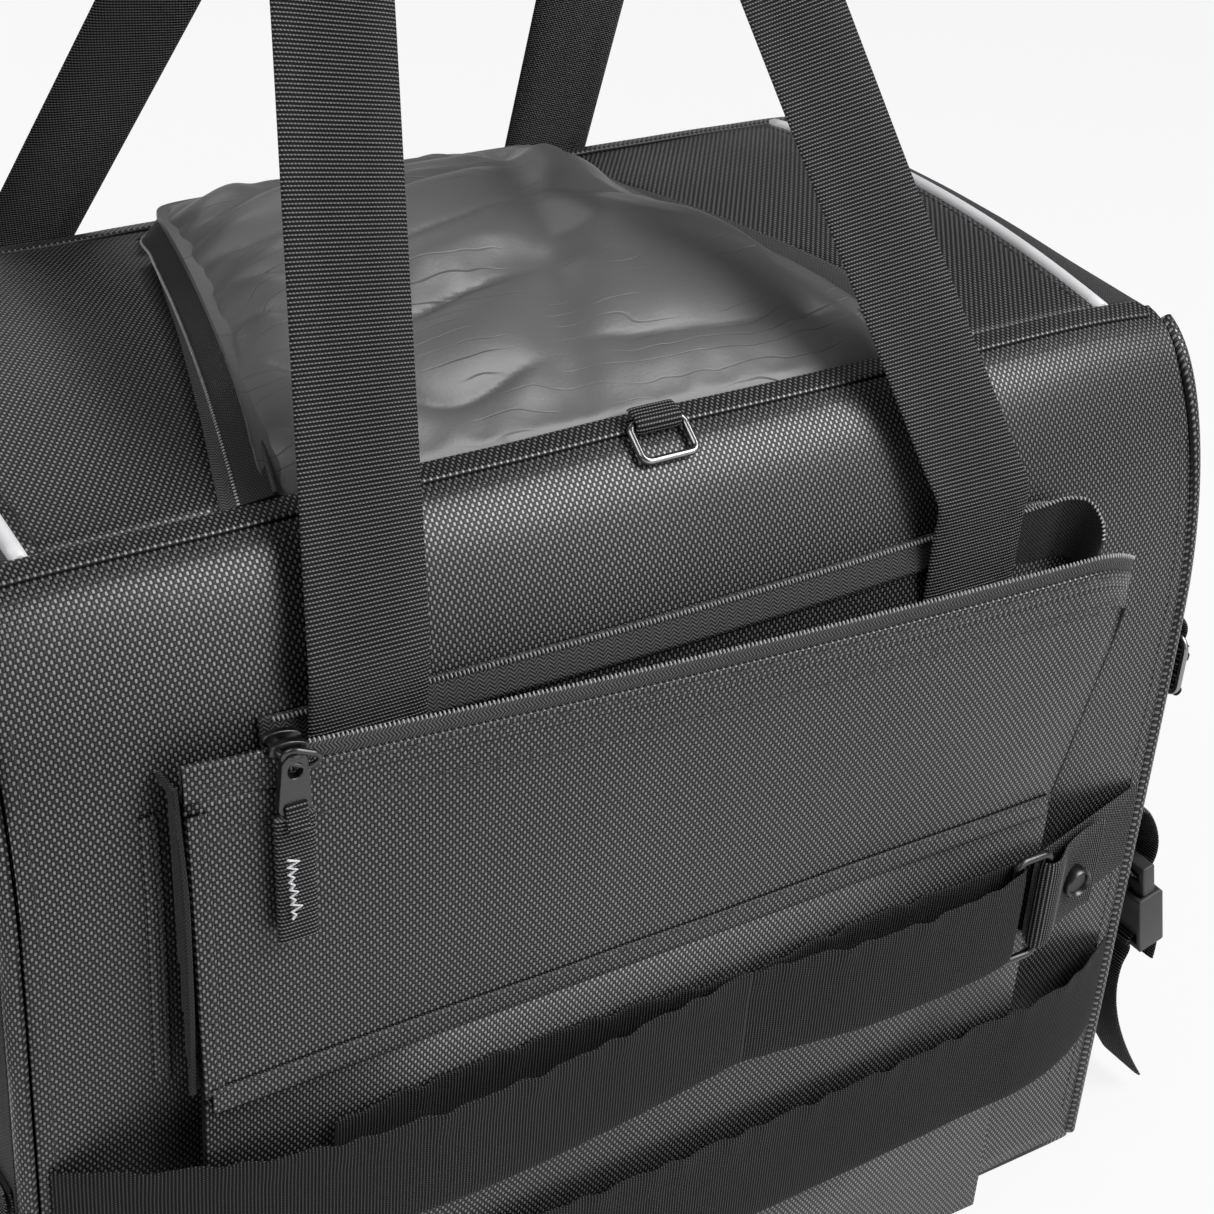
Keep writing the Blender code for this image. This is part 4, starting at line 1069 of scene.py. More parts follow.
def ring_points(centre, first, second, half_first, half_second, corner):
    """Points round a rounded rectangle that spans two directions."""
    points = []
    for sign_first, sign_second, start in ((1, 1, 0), (-1, 1, 1), (-1, -1, 2), (1, -1, 3)):
        for step in range(CORNER_STEPS + 1):
            angle = (start + step / CORNER_STEPS) * math.pi / 2
            a = sign_first * (half_first - corner) + corner * math.cos(angle)
            b = sign_second * (half_second - corner) + corner * math.sin(angle)
            points.append(centre + first * a + second * b)
    return points


def turned_mesh(profile, centre, axis, segments=40):
    """A turned shape: radius and height pairs along an axis, first and last on the axis."""
    build = bmesh.new()
    turn = UP.rotation_difference(axis).to_matrix()
    chain = [build.verts.new(Vector((radius, 0, height))) for radius, height in profile]
    edges = [build.edges.new(pair) for pair in zip(chain, chain[1:])]
    bmesh.ops.spin(
        build, geom=chain + edges, cent=(0, 0, 0), axis=UP, angle=TURN, steps=segments)
    bmesh.ops.remove_doubles(build, verts=build.verts, dist=WELD)
    bmesh.ops.recalc_face_normals(build, faces=build.faces)
    for vertex in build.verts:
        vertex.co = turn @ vertex.co + centre
    return mesh_from(build, "turned")


def row_tree():
    """Geometry Nodes that set beads along a path, square to the surface it lies on."""
    if "Beads along a path" in bpy.data.node_groups:
        return bpy.data.node_groups["Beads along a path"]
    tree = bpy.data.node_groups.new("Beads along a path", "GeometryNodeTree")
    face = tree.interface
    face.new_socket("Geometry", in_out="INPUT", socket_type="NodeSocketGeometry")
    for name in ("Pitch", "Length", "Width", "Height", "Slant"):
        face.new_socket(name, in_out="INPUT", socket_type="NodeSocketFloat")
    face.new_socket("Material", in_out="INPUT", socket_type="NodeSocketMaterial")
    face.new_socket("Geometry", in_out="OUTPUT", socket_type="NodeSocketGeometry")

    def add(kind, settings=None, **links):
        made = tree.nodes.new(kind)
        for key, value in (settings or {}).items():
            setattr(made, key, value)
        for key, value in links.items():
            socket = made.inputs[key.replace("_", " ")]
            if isinstance(value, bpy.types.NodeSocket):
                tree.links.new(value, socket)
            else:
                socket.default_value = value
        return made

    start = add("NodeGroupInput")
    path = add("GeometryNodeMeshToCurve", Mesh=start.outputs["Geometry"])
    spots = add(
        "GeometryNodeCurveToPoints", {"mode": "LENGTH"},
        Curve=path.outputs[0], Length=start.outputs["Pitch"])
    up = add("GeometryNodeInputNamedAttribute", {"data_type": "FLOAT_VECTOR"}, Name="up")
    run = add(
        "FunctionNodeAlignRotationToVector", {"axis": "X"}, Vector=spots.outputs["Tangent"])
    stand = add(
        "FunctionNodeAlignRotationToVector", {"axis": "Z", "pivot_axis": "X"},
        Rotation=run.outputs[0], Vector=up.outputs[0])
    twist = add("ShaderNodeCombineXYZ", Z=start.outputs["Slant"])
    lean = add("FunctionNodeEulerToRotation", Euler=twist.outputs[0])
    turn = add("FunctionNodeRotateRotation", {"rotation_space": "LOCAL"})
    tree.links.new(stand.outputs[0], turn.inputs[0])
    tree.links.new(lean.outputs[0], turn.inputs[1])
    bead = add("GeometryNodeMeshUVSphere", Segments=8, Rings=5, Radius=0.5)
    shape = add(
        "ShaderNodeCombineXYZ", X=start.outputs["Length"], Y=start.outputs["Width"],
        Z=start.outputs["Height"])
    sized = add("GeometryNodeTransform", Geometry=bead.outputs[0], Scale=shape.outputs[0])
    laid = add("GeometryNodeInstanceOnPoints", Points=spots.outputs[0], Instance=sized.outputs[0])
    tree.links.new(turn.outputs[0], laid.inputs["Rotation"])
    real = add("GeometryNodeRealizeInstances", Geometry=laid.outputs[0])
    painted = add(
        "GeometryNodeSetMaterial", Geometry=real.outputs[0], Material=start.outputs["Material"])
    end = add("NodeGroupOutput")
    tree.links.new(painted.outputs[0], end.inputs[0])
    return tree


def bead_rows(name, rows, sizes, finish, body, bends=None):
    """Stitches or teeth along rows of (place, normal); sizes name the tree's inputs."""
    build = bmesh.new()
    layer = build.verts.layers.float_vector.new("up")
    for row in rows:
        before = None
        for place, normal in row:
            vertex = build.verts.new(place)
            vertex[layer] = normal
            if before:
                build.edges.new((before, vertex))
            before = vertex
    path = link("path", mesh_from(build, "path"))
    laid = path.modifiers.new("Rows", "NODES")
    laid.node_group = row_tree()
    for socket in laid.node_group.interface.items_tree:
        if socket.in_out == "INPUT" and socket.name in sizes:
            laid[socket.identifier] = sizes[socket.name]
        if socket.in_out == "INPUT" and socket.name == "Material":
            laid[socket.identifier] = finish_of(finish)
    return add_piece(name, plain_mesh(path), finish, body, bends=bends)


def cast(piece, places, direction, lift=0.0):
    """Drop places onto a piece along a direction: a row of (place, normal)."""
    tree = BVHTree.FromPolygons(
        [vertex.co for vertex in piece.data.vertices],
        [polygon.vertices for polygon in piece.data.polygons])
    aim = Vector(direction).normalized()
    row = []
    for place in places:
        spot, normal, _, _ = tree.ray_cast(Vector(place) - aim, aim)
        if spot is not None:
            row.append((spot + normal * lift, normal))
    return row


def between(first, second, step=SHORT_STEP):
    """Places on a straight line."""
    first = Vector(first)
    second = Vector(second)
    count = max(2, int((second - first).length / step) + 1)
    return [first.lerp(second, index / (count - 1)) for index in range(count)]


# A stitch and a tooth of the coil: share of the pitch, width, height, slant; scale of short stitches
STITCH_SHARE = 0.78
STITCH_W = 0.0007
STITCH_H = 0.0006
SHORT_STITCH = 0.8
COIL_SHARE = 0.46
COIL_W = 0.002
COIL_H = 0.0009
COIL_SLANT = 0.25


def stitch_sizes(scale=1.0):
    """Inputs of the bead tree for a lockstitch."""
    pitch = cloth_sizes().stitch_pitch * scale
    return {
        "Pitch": pitch, "Length": pitch * STITCH_SHARE, "Width": STITCH_W, "Height": STITCH_H, "Slant": 0.0}


def coil_sizes():
    """Inputs of the bead tree for the pocket's zip coil."""
    pitch = cloth_sizes().tooth_pitch
    return {
        "Pitch": pitch, "Length": pitch * COIL_SHARE, "Width": COIL_W, "Height": COIL_H,
        "Slant": COIL_SLANT}


# Finished pieces by the node or the name they are known by
PIECES = {}


class TailBagOperator:
    """What the operators share."""

    bl_options = {"REGISTER", "UNDO"}


class TAILBAG_OT_panels(TailBagOperator, bpy.types.Operator):
    """Front, rear, top, base and ends in their cloth."""

    bl_idname = "tailbag.panels"
    bl_label = "Panels"

    def execute(self, context):
        plan = (
            ("front_panel", "nylon", along_shoulder, 3),
            ("rear_panel", "nylon", along_shoulder, 3),
            ("top_panel", "nylon", from_above, 2),
            ("base_panel", "nylon", from_above, 2),
            ("left_side_panel", "side_cloth", over_end, 2),
            ("right_side_panel", "side_cloth", over_end, 2),
        )
        for seed, (node, finish, rule, levels) in enumerate(plan):
            mesh = softened(node, levels)
            if node != "base_panel":
                ripple(mesh, cloth_sizes().ripple, PANEL_DENTS, seed + 1)
            map_cloth(mesh, rule)
            PIECES[node] = add_piece(node + "_cloth", mesh, finish, body_of(node), node)
        return {"FINISHED"}


# The walls' folded edge over the seam: share of the bag's width, place, half width, lift, half thickness
LAP_SHARE = 0.975
LAP_BACK = 0.0022
LAP_HALF = 0.0042
LAP_LIFT = 0.0003
LAP_HALF_T = 0.001


class TAILBAG_OT_seam_folds(TailBagOperator, bpy.types.Operator):
    """The folded edge of the walls, lapped over the top seams."""

    bl_idname = "tailbag.seam_folds"
    bl_label = "Seam folds"

    def execute(self, context):
        reach = LAP_SHARE * HALF_W
        for wall, sign in (("front", -1), ("rear", 1)):
            y = sign * (SEAM_Y + LAP_BACK)
            rows = []
            for place, normal in cast(PIECES[f"{wall}_panel"], between((-reach, y, 0), (reach, y, 0)), -UP):
                side = normal.cross(RIGHT).normalized() * LAP_HALF
                rows.append([*(place + normal * LAP_LIFT), *side, LAP_HALF_T])
            mesh = strip_mesh(wall, np.array(rows), level=True)
            PIECES[f"{wall}_seam"] = add_piece(f"{wall}_seam_fold", mesh, "nylon", "bag")
        return {"FINISHED"}


# How far a piping's sleeve stands out from its cord
SLEEVE_T = 0.0002


class TAILBAG_OT_pipings(TailBagOperator, bpy.types.Operator):
    """Cloth-covered edge pipings and the two reflective ones."""

    bl_idname = "tailbag.pipings"
    bl_label = "Pipings"

    def execute(self, context):
        for end in ("left", "right"):
            for wall in ("front", "rear"):
                self.piping(f"{wall}_{end}_piping", "nylon")
            self.piping(f"{end}_reflective_piping", "reflective")
        return {"FINISHED"}

    def piping(self, node, finish):
        """A round cord in a sleeve."""
        mesh = softened(node, 2)
        move_points(mesh, lambda place, normal: normal * SLEEVE_T)
        map_cloth(mesh, round_edge)
        PIECES[node] = add_piece(node + "_sleeve", mesh, finish, body_of(node), node)


# The flap's right corner: reach, curl, its share inwards, and how close to the top it stays
CORNER_REACH = 0.024
CORNER_CURL = 0.008
CORNER_IN = 0.7
CORNER_HIGH = 6

# The left gusset: depth of its tuck, room behind the flap, roundness of the tuck, where its belly starts
GUSSET_TUCK = 0.02
GUSSET_GAP = 0.0018
TUCK_ROUND = 0.6
TUCK_FOOT = 0.15

# Nylon folded over the flap's tape, in shares of the tape's half width, with its lifts and half thickness
FOLD_FULL = 1.06
FOLD_LOW = -1.25
FOLD_STITCH = 0.42
FOLD_LIFT = 0.0008
FOLD_STITCH_LIFT = 0.0019
FOLD_HALF_T = 0.0011

# The back tape's right end: steps right, back and up from its corner, where the bend starts, half side and
# half thickness, step of the teeth and where they point
TURN_ROUTE = (
    (-0.036, -0.0006, -0.0006), (-0.016, -0.0006, 0.0), (-0.007, -0.0018, 0.001),
    (-0.0015, -0.0052, 0.0004), (0.0005, -0.0095, -0.0035), (0.0, -0.0135, -0.0105))
TURN_START = 2
TURN_SIDE = (-0.0006, 0.001, -0.0115)
TURN_HALF_T = 0.0005
TURN_STEP = 0.002
TURN_TEETH_UP = (0.3, -0.5, 0.8)

# Hems: half width, half thickness, lift; share of the hem to its stitches, their lift; margin at the ends
HEM = 0.003
HEM_HALF_T = 0.0007
HEM_LIFT = 0.0004
HEM_STITCH = 0.3
HEM_STITCH_LIFT = 0.0008
HEM_MARGIN = 0.004

# The dark cord in the crease at the flap's right edge, a painted shadow line: inset, its ends, depth behind the face,
# radius
CREASE_IN = 0.003
CREASE_TOP = 0.016
CREASE_DEEP = 0.0006
CREASE_R = 0.0009

# Cloth over the flap's fold line: inset, reach, lift, half thickness, margin of the bend, step along it;
# then the way to its stitches, and where the flap's face points
HINGE_IN = 0.002
HINGE_REACH = 0.0035
HINGE_LIFT = 0.0005
HINGE_HALF_T = 0.0008
HINGE_BEND = 0.001
HINGE_STEP = 0.008
HINGE_STITCH = Vector((0, -0.0006, -0.001))
FACE_UP = Vector((0, -1, 0.2))


def flap_rise(z):
    """Share of the way up the flap."""
    return min(1.0, max(0.0, (z - FLAP_LO.z) / (FLAP_HI.z - FLAP_LO.z)))


def mouth_sag(place):
    """The open pocket's mouth hangs a little in the middle, and its right corner curls round."""
    middle = (FLAP_LO.x + FLAP_HI.x) / 2
    half = (FLAP_HI.x - FLAP_LO.x) / 2
    share = max(0.0, 1 - ((place.x - middle) / half) ** 2)
    rise = flap_rise(place.z)
    corner = max(0.0, 1 - (FLAP_HI.x - place.x) / CORNER_REACH)
    curl = CORNER_CURL * corner * corner * rise ** CORNER_HIGH
    return Vector((0, curl * CORNER_IN, -cloth_sizes().flap_sag * share * rise * rise - curl))


def sagged(place):
    """A place of the pocket's mouth as it hangs."""
    return place + mouth_sag(place)


class TAILBAG_OT_pocket(TailBagOperator, bpy.types.Operator):
    """Front pocket: lower panel, open flap, gussets and zip tapes."""

    bl_idname = "tailbag.pocket"
    bl_label = "Pocket"

    def execute(self, context):
        self.cloth("pocket_lower_panel", "nylon", from_front, 2, 7)
        self.cloth("pocket_flap", "nylon", from_front, 3, 9, mouth_sag)
        self.cloth("pocket_gusset", "side_cloth", from_end, 1, 11)
        # The left gusset's near-black cloth is painted shade in its tucked hollow
        self.cloth("left_flap_gusset", "pocket_cloth", from_end, 3, 13, self.tucked, True)
        self.cloth("right_flap_gusset", "nylon", from_end, 2, 13, None, True)
        self.cloth("pocket_zip_back", "zip_tape", from_front, 2, 0, mouth_sag)
        PIECES["pocket_zip_front"] = tape_piece("pocket_zip_front", bend=sagged)
        self.top_fold()
        self.zip_turn()
        self.left_edges()
        self.right_edge()
        self.hinge_fold()
        return {"FINISHED"}

    def cloth(self, node, finish, rule, levels, seed, bend=None, hinged=False):
        """One soft panel of the pocket; a hinged one runs from the bag to the flap."""
        mesh = softened(node, levels)
        map_cloth(mesh, rule)
        if bend:
            move_points(mesh, lambda place, normal: bend(place))
        if seed:
            ripple(mesh, cloth_sizes().ripple, POCKET_DENTS, seed)
        bends = None
        if hinged:
            low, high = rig.box(node)
            bends = ("pocket_flap", Vector((low.x, high.y, low.z)), low)
        PIECES[node] = add_piece(node + "_cloth", mesh, finish, body_of(node), node, bends=bends)

    def tucked(self, place):
        """The left gusset folds into the pocket."""
        height = flap_rise(place.z)
        flap = POCKET_HI.y + (FLAP_HI.y - POCKET_HI.y) * height + GUSSET_GAP
        depth = max(0.0, (flap - place.y) / (flap + wall_out(place.z)))
        fold = max(0.0, 1 - abs(2 * depth - 1)) ** TUCK_ROUND
        belly = math.sqrt(math.sin(math.pi * min(1.0, TUCK_FOOT + (1 - TUCK_FOOT) * height)))
        return RIGHT * (GUSSET_TUCK * fold * belly)

    def top_fold(self):
        """Nylon folded over the lower half of the flap's tape, and over all of it left of the slider."""
        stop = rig.box("pocket_slider")[0].x
        fold = []
        seam = []
        for row in smooth_rows(strip_sections("pocket_zip_front"), LONG_STEP)[0]:
            up = row[3:6] if row[5] > 0 else -row[3:6]
            out = np.cross(up, (1, 0, 0))
            out *= (-1 if out[1] > 0 else 1) / np.linalg.norm(out)
            top = 0.0 if row[0] > stop else FOLD_FULL
            centre = row[:3] + up * (top + FOLD_LOW) / 2 + out * FOLD_LIFT
            fold.append([*centre, *(up * (top - FOLD_LOW) / 2), FOLD_HALF_T])
            stitch = Vector(row[:3] - up * FOLD_STITCH + out * FOLD_STITCH_LIFT)
            seam.append((sagged(stitch), Vector(out)))
        mesh = strip_mesh("flap_top_fold", np.array(fold), bend=sagged, level=True)
        PIECES["flap_top_fold"] = add_piece("flap_top_fold", mesh, "nylon", "pocket_flap")
        bead_rows("flap_top_stitches", [seam[1:-1]], stitch_sizes(SHORT_STITCH), "thread", "pocket_flap")

    def zip_turn(self):
        """The back tape's right end, which curls out and down to the flap's corner."""
        corner = np.array((BACK_ZIP_HI.x, BACK_ZIP_LO.y, BACK_ZIP_HI.z))
        side = np.array(TURN_SIDE)
        teeth = [corner + step for step in np.array(TURN_ROUTE)]
        rows = [[*(edge + side), *side, TURN_HALF_T] for edge in teeth]
        mesh = strip_mesh("zip_turn", np.array(rows))
        bends = ("pocket_flap", Vector(teeth[TURN_START]), Vector(teeth[-1]))
        # Its tape takes the near-black cloth, painted shade in the flap's corner
        add_piece("pocket_zip_turn", mesh, "pocket_cloth", "bag", bends=bends)
        fine = smooth_rows(np.array(teeth), TURN_STEP)[0]
        row = [(Vector(place), Vector(TURN_TEETH_UP)) for place in fine]
        bead_rows("turn_zip_teeth", [row], coil_sizes(), "zip_teeth", "bag", bends)

    def edge_strip(self, name, carrier, x, low, high, body):
        """A folded cloth edge up a piece, with a row of stitches on it."""
        places = between((x, 0, low), (x, 0, high), LONG_STEP)
        found = cast(PIECES[carrier], places, BACK, HEM_LIFT)
        rows = [[*place, HEM, 0, 0, HEM_HALF_T] for place, _ in found]
        PIECES[name] = add_piece(name, strip_mesh(name, np.array(rows)), "nylon", body)
        sewn = Vector((HEM * HEM_STITCH, -HEM_STITCH_LIFT, 0))
        seam = [(place + sewn, -BACK) for place, _ in found]
        bead_rows(name + "_stitches", [seam], stitch_sizes(SHORT_STITCH), "thread", body)

    def left_edges(self):
        """The hem of the flap and the edge that the left gusset is sewn to."""
        foot = FLAP_LO.z + HEM_MARGIN
        top = FLAP_HI.z - HEM_MARGIN
        self.edge_strip("flap_hem", "pocket_flap", FLAP_LO.x + HEM, foot, top, "pocket_flap")
        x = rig.box("left_flap_gusset")[0].x - HEM
        self.edge_strip("gusset_edge", "front_panel", x, FLAP_LO.z, top - HEM_MARGIN, "bag")

    def right_edge(self):
        """A dark cord where the flap turns into its right gusset: a painted shadow line in the crease."""
        x = FLAP_RIGHT - CREASE_IN
        places = between((x, 0, FLAP_LO.z + CREASE_IN), (x, 0, FLAP_HI.z - CREASE_TOP))
        flap = PIECES["pocket_flap"]
        behind = [place + BACK * CREASE_DEEP for place, _ in cast(flap, places, BACK)]
        line = [place for place, _ in cast(flap, behind, -RIGHT)]
        # A dark cord laid along the crease as painted shadow line
        add_piece("flap_edge_cord", wire_mesh(line, CREASE_R), "pocket_cloth", "pocket_flap")

    def hinge_fold(self):
        """Cloth over the line that the flap folds at, with a row of stitches above it."""
        left = FLAP_LO.x + HINGE_IN
        right = FLAP_RIGHT - HINGE_IN
        edges = []
        for node, z in (
            ("pocket_lower_panel", POCKET_HI.z - HINGE_REACH),
            ("pocket_flap", FLAP_LO.z + HINGE_REACH),
        ):
            line = between((left, 0, z), (right, 0, z), HINGE_STEP)
            edges.append([np.array(place) for place, _ in cast(PIECES[node], line, BACK, HINGE_LIFT)])
        rows = [[*((low + high) / 2), *((high - low) / 2), HINGE_HALF_T] for low, high in zip(*edges)]
        start = Vector((0, rows[0][1], POCKET_HI.z - HINGE_BEND))
        end = Vector((0, rows[0][1], FLAP_LO.z + HINGE_BEND))
        mesh = strip_mesh("hinge_fold", np.array(rows), level=True)
        add_piece("flap_hinge_fold", mesh, "nylon", "bag", bends=("pocket_flap", start, end))
        seam = [(Vector(place) + HINGE_STITCH, FACE_UP) for place in edges[1]]
        bead_rows("flap_hinge_stitches", [seam], stitch_sizes(SHORT_STITCH), "thread", "pocket_flap")


# The vinyl lid: half widths, how far its ends lie inward or full, and how far it stands proud of the pad
LID_HALF_FRONT = 0.110
LID_HALF_REAR = 0.070
LID_DRAWN_RIGHT = 0.015
LID_FULL_LEFT = 0.0078
LID_FULL_FALL = 0.5
LID_PROUD_LOW = (0.001, 0.0, 0.0)
LID_PROUD_HIGH = (0.001, 0.002, 0.001)

# Its slack as cloth: most travel, most sink, frames, sewn margin, slope where it is sewn, cloth settings
LID_SLACK = 0.003
LID_SINK = 0.0015
SETTLE_FRAMES = 24
SEWN_MARGIN = 0.004
SEWN_SLOPE = 0.35
SLACK_CLOTH = {
    "quality": 5,
    "mass": 0.3,
    "tension_stiffness": 12,
    "compression_stiffness": 12,
    "shear_stiffness": 6,
    "bending_stiffness": 4.0,
    "vertex_group_mass": "sewn",
    "shrink_min": -0.012,
    "shrink_max": -0.012,
    "use_pressure": True,
    "uniform_pressure_force": 0.4,
}

# How it is drawn to its seams, each a depth and a reach from the edge; the slope that parts its top from
# its underside; where the folds die out
UNDER_DEEP = 0.006
UNDER_REACH = 0.03
ROLL_DEEP = 0.0028
ROLL_REACH = 0.012
FRONT_DEEP = 0.0048
FRONT_REACH = 0.026
OVER_SLOPE = 0.6
HOLD_EDGE = 0.016
HOLD_FRONT = 0.02

# Its fan of folds: height, roundness, mean, pitch at the left end, its growth, from where and how soon
FAN_HIGH = 0.006
FAN_ROUND = 0.55
FAN_MEAN = 0.66
FAN_PITCH = 0.025
FAN_SPREAD = 0.008
FAN_LEFT = -0.095
FAN_RUN = 0.05

# The line that the fan follows: its bend's place, slope, change of slope, roundness
LINE_X = -0.062
LINE_Y = -0.0194
LINE_SLOPE = -0.175
LINE_BEND = 0.375
LINE_ROUND = 0.012

# Its broad folds on the right: height, roundness, mean, pitch, place, slant
BROAD_HIGH = 0.0062
BROAD_ROUND = 0.65
BROAD_MEAN = 0.62
BROAD_PITCH = 0.075
BROAD_Y = 0.003
BROAD_SLANT = 0.05

# The pinch between them: place, slant, depth, half width, and how soon the folds start beside it
PINCH_X = 0.022
PINCH_SLANT = 0.42
PINCH_DEEP = 0.0034
PINCH_HALF = 0.011
PINCH_LEFT = 0.03
PINCH_RIGHT = 0.025

# Small creases, and the wander of the folds' lines: height and size of each
SHORT_HIGH = 0.0009
SHORT_SIZE = 0.03
FOLD_WANDER = 0.004
WANDER_SIZE = 0.07

# The lid's zipped gusset: tape below the foot; on the left a lower zip: from where, how soon, its shares
GUSSET_FOOT = 0.0025
LOW_ZIP_X = -0.03
LOW_ZIP_RUN = 0.035
LOW_ZIP_LEAST = 0.06
LOW_ZIP_FRONT = 0.33
LOW_ZIP_FALL = 0.4

# Its teeth and binding: lifts, radius, sizes of a tooth
LID_TEETH_LIFT = 0.001
BINDING_LIFT = 0.0008
BINDING_R = 0.0009
LID_TEETH = {"Pitch": 0.0014, "Length": 0.0006, "Width": 0.0013, "Height": 0.0008, "Slant": 0.4}

# No teeth show on the lid's right side, in front of its rear run
TEETH_RIGHT = 0.045
TEETH_REAR = 0.07


def lid_depth(y):
    """Share of the way from the lid's front seam to its rear edge."""
    return min(1.0, max(0.0, (y - LID_LO.y) / (LID_HI.y - LID_LO.y)))


def end_draw(x, back):
    """How far the vinyl's end lies inward of its pad: drawn in on the right, full on the left."""
    if x > 0:
        return LID_DRAWN_RIGHT * math.sin(math.pi * back)
    return LID_FULL_LEFT * (1 - LID_FULL_FALL * back * back)


class TAILBAG_OT_lid(TailBagOperator, bpy.types.Operator):
    """Vinyl lid with its folds, and the zipped gusset round it."""

    bl_idname = "tailbag.lid"
    bl_label = "Lid"

    def execute(self, context):
        mesh = softened("lid_vinyl", 3, ALL_SMOOTH)
        self.fit(mesh)
        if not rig.quick():
            mesh = self.settle(mesh)
        mesh = finer(mesh)
        self.fold(mesh)
        PIECES["lid_vinyl"] = add_piece("lid_vinyl_skin", mesh, "vinyl", "lid", "lid_vinyl")
        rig.padded(PIECES["lid_vinyl"], fill=0.4)
        self.gusset()
        return {"FINISHED"}

    def fit(self, mesh):
        """Stretch the rounded skin back over the pad, a little proud of the gusset."""
        places = np.array([vertex.co for vertex in mesh.vertices])
        low = places.min(axis=0)
        high = places.max(axis=0)
        goal_low = np.array(LID_LO) - LID_PROUD_LOW
        goal_high = np.array(LID_HI) + LID_PROUD_HIGH
        fitted = goal_low + (places - low) / (high - low) * (goal_high - goal_low)
        mesh.vertices.foreach_set("co", fitted.ravel())
        mesh.update()

    def fold(self, mesh):
        """Draw the ends to their seams, roll the edges down and lay the slack in folds."""
        folds = self.fold_heights()

        def rule(place, normal):
            back = lid_depth(place.y)
            half = LID_HALF_FRONT + (LID_HALF_REAR - LID_HALF_FRONT) * back
            draw = Vector((-end_draw(place.x, back) * (place.x / half) ** 2, 0, 0))
            left = max(0.0, place.x + half)
            right = max(0.0, half - place.x)
            edge = min(left, right, LID_HI.y - place.y)
            over = ease((normal.z + OVER_SLOPE) / (2 * OVER_SLOPE))
            under = UNDER_DEEP * min(1.0, edge / UNDER_REACH) * math.sin(math.pi * back) * (1 - over)
            roll = ROLL_DEEP * max(0.0, 1 - edge / ROLL_REACH) ** 2 * over
            front = FRONT_DEEP * max(0.0, 1 - (place.y - LID_LO.y) / FRONT_REACH) ** 2
            hold = ease(edge / HOLD_EDGE) * ease((place.y - LID_LO.y) / HOLD_FRONT)
            return draw + Vector((0, 0, hold * folds(place) - under - roll - front))

        move_points(mesh, rule)

    def fold_heights(self):
        """Folds as the vinyl hangs: a fan from the left end, a pinch across it, broad ones on the right."""
        bend = wander(WANDER_SIZE, 25)
        short = wander(SHORT_SIZE, 23)

        def height(place):
            x = place.x
            y = place.y + FOLD_WANDER * bend(place)
            pinch = PINCH_X + PINCH_SLANT * y - x
            turn = x - LINE_X
            centre = LINE_Y + LINE_SLOPE * turn + LINE_BEND * math.hypot(turn, LINE_ROUND)
            pitch = FAN_PITCH + FAN_SPREAD * ease((x - FAN_LEFT) / FAN_RUN)
            fan = abs(math.sin(math.pi * (y - centre) / pitch)) ** FAN_ROUND - FAN_MEAN
            wave = math.sin(math.pi * (y - BROAD_Y + BROAD_SLANT * x) / BROAD_PITCH)
            broad = abs(wave) ** BROAD_ROUND - BROAD_MEAN
            ridges = FAN_HIGH * fan * ease(pinch / PINCH_LEFT)
            ridges += BROAD_HIGH * broad * ease(-pinch / PINCH_RIGHT)
            dent = PINCH_DEEP * math.exp(-((pinch / PINCH_HALF) ** 2))
            return ridges - dent + SHORT_HIGH * short(place)

        return height

    def settle(self, mesh):
        """Let the slack vinyl buckle between its sewn edges, as cloth a little too large for its frame."""
        start = np.array([vertex.co for vertex in mesh.vertices])
        normals = [Vector(item.vector) for item in mesh.vertex_normals]
        pad = link("lid_settling", mesh)
        sewn = pad.vertex_groups.new(name="sewn")
        for index, (place, normal) in enumerate(zip(start, normals)):
            edge = min(place[1] - LID_LO.y, LID_HI.y - place[1])
            if normal.z < SEWN_SLOPE or edge < SEWN_MARGIN:
                sewn.add([index], 1.0, "REPLACE")
        slack = pad.modifiers.new("Slack", "CLOTH")
        for key, value in SLACK_CLOTH.items():
            setattr(slack.settings, key, value)
        slack.settings.effector_weights.gravity = 0
        slack.collision_settings.use_collision = False
        slack.point_cache.frame_end = SETTLE_FRAMES
        for step in range(1, SETTLE_FRAMES + 1):
            bpy.context.scene.frame_set(step)
        settled = plain_mesh(pad)
        bpy.context.scene.frame_set(1)
        shift = np.array([vertex.co for vertex in settled.vertices]) - start
        reach = np.linalg.norm(shift, axis=1)[:, None]
        shift *= np.minimum(1.0, LID_SLACK / np.maximum(reach, WELD))
        sunk = LID_SINK * np.tanh(shift[:, 2] / LID_SINK)
        shift[:, 2] = np.where(shift[:, 2] < 0, sunk, shift[:, 2])
        settled.vertices.foreach_set("co", (start + shift).ravel())
        settled.update()
        return settled

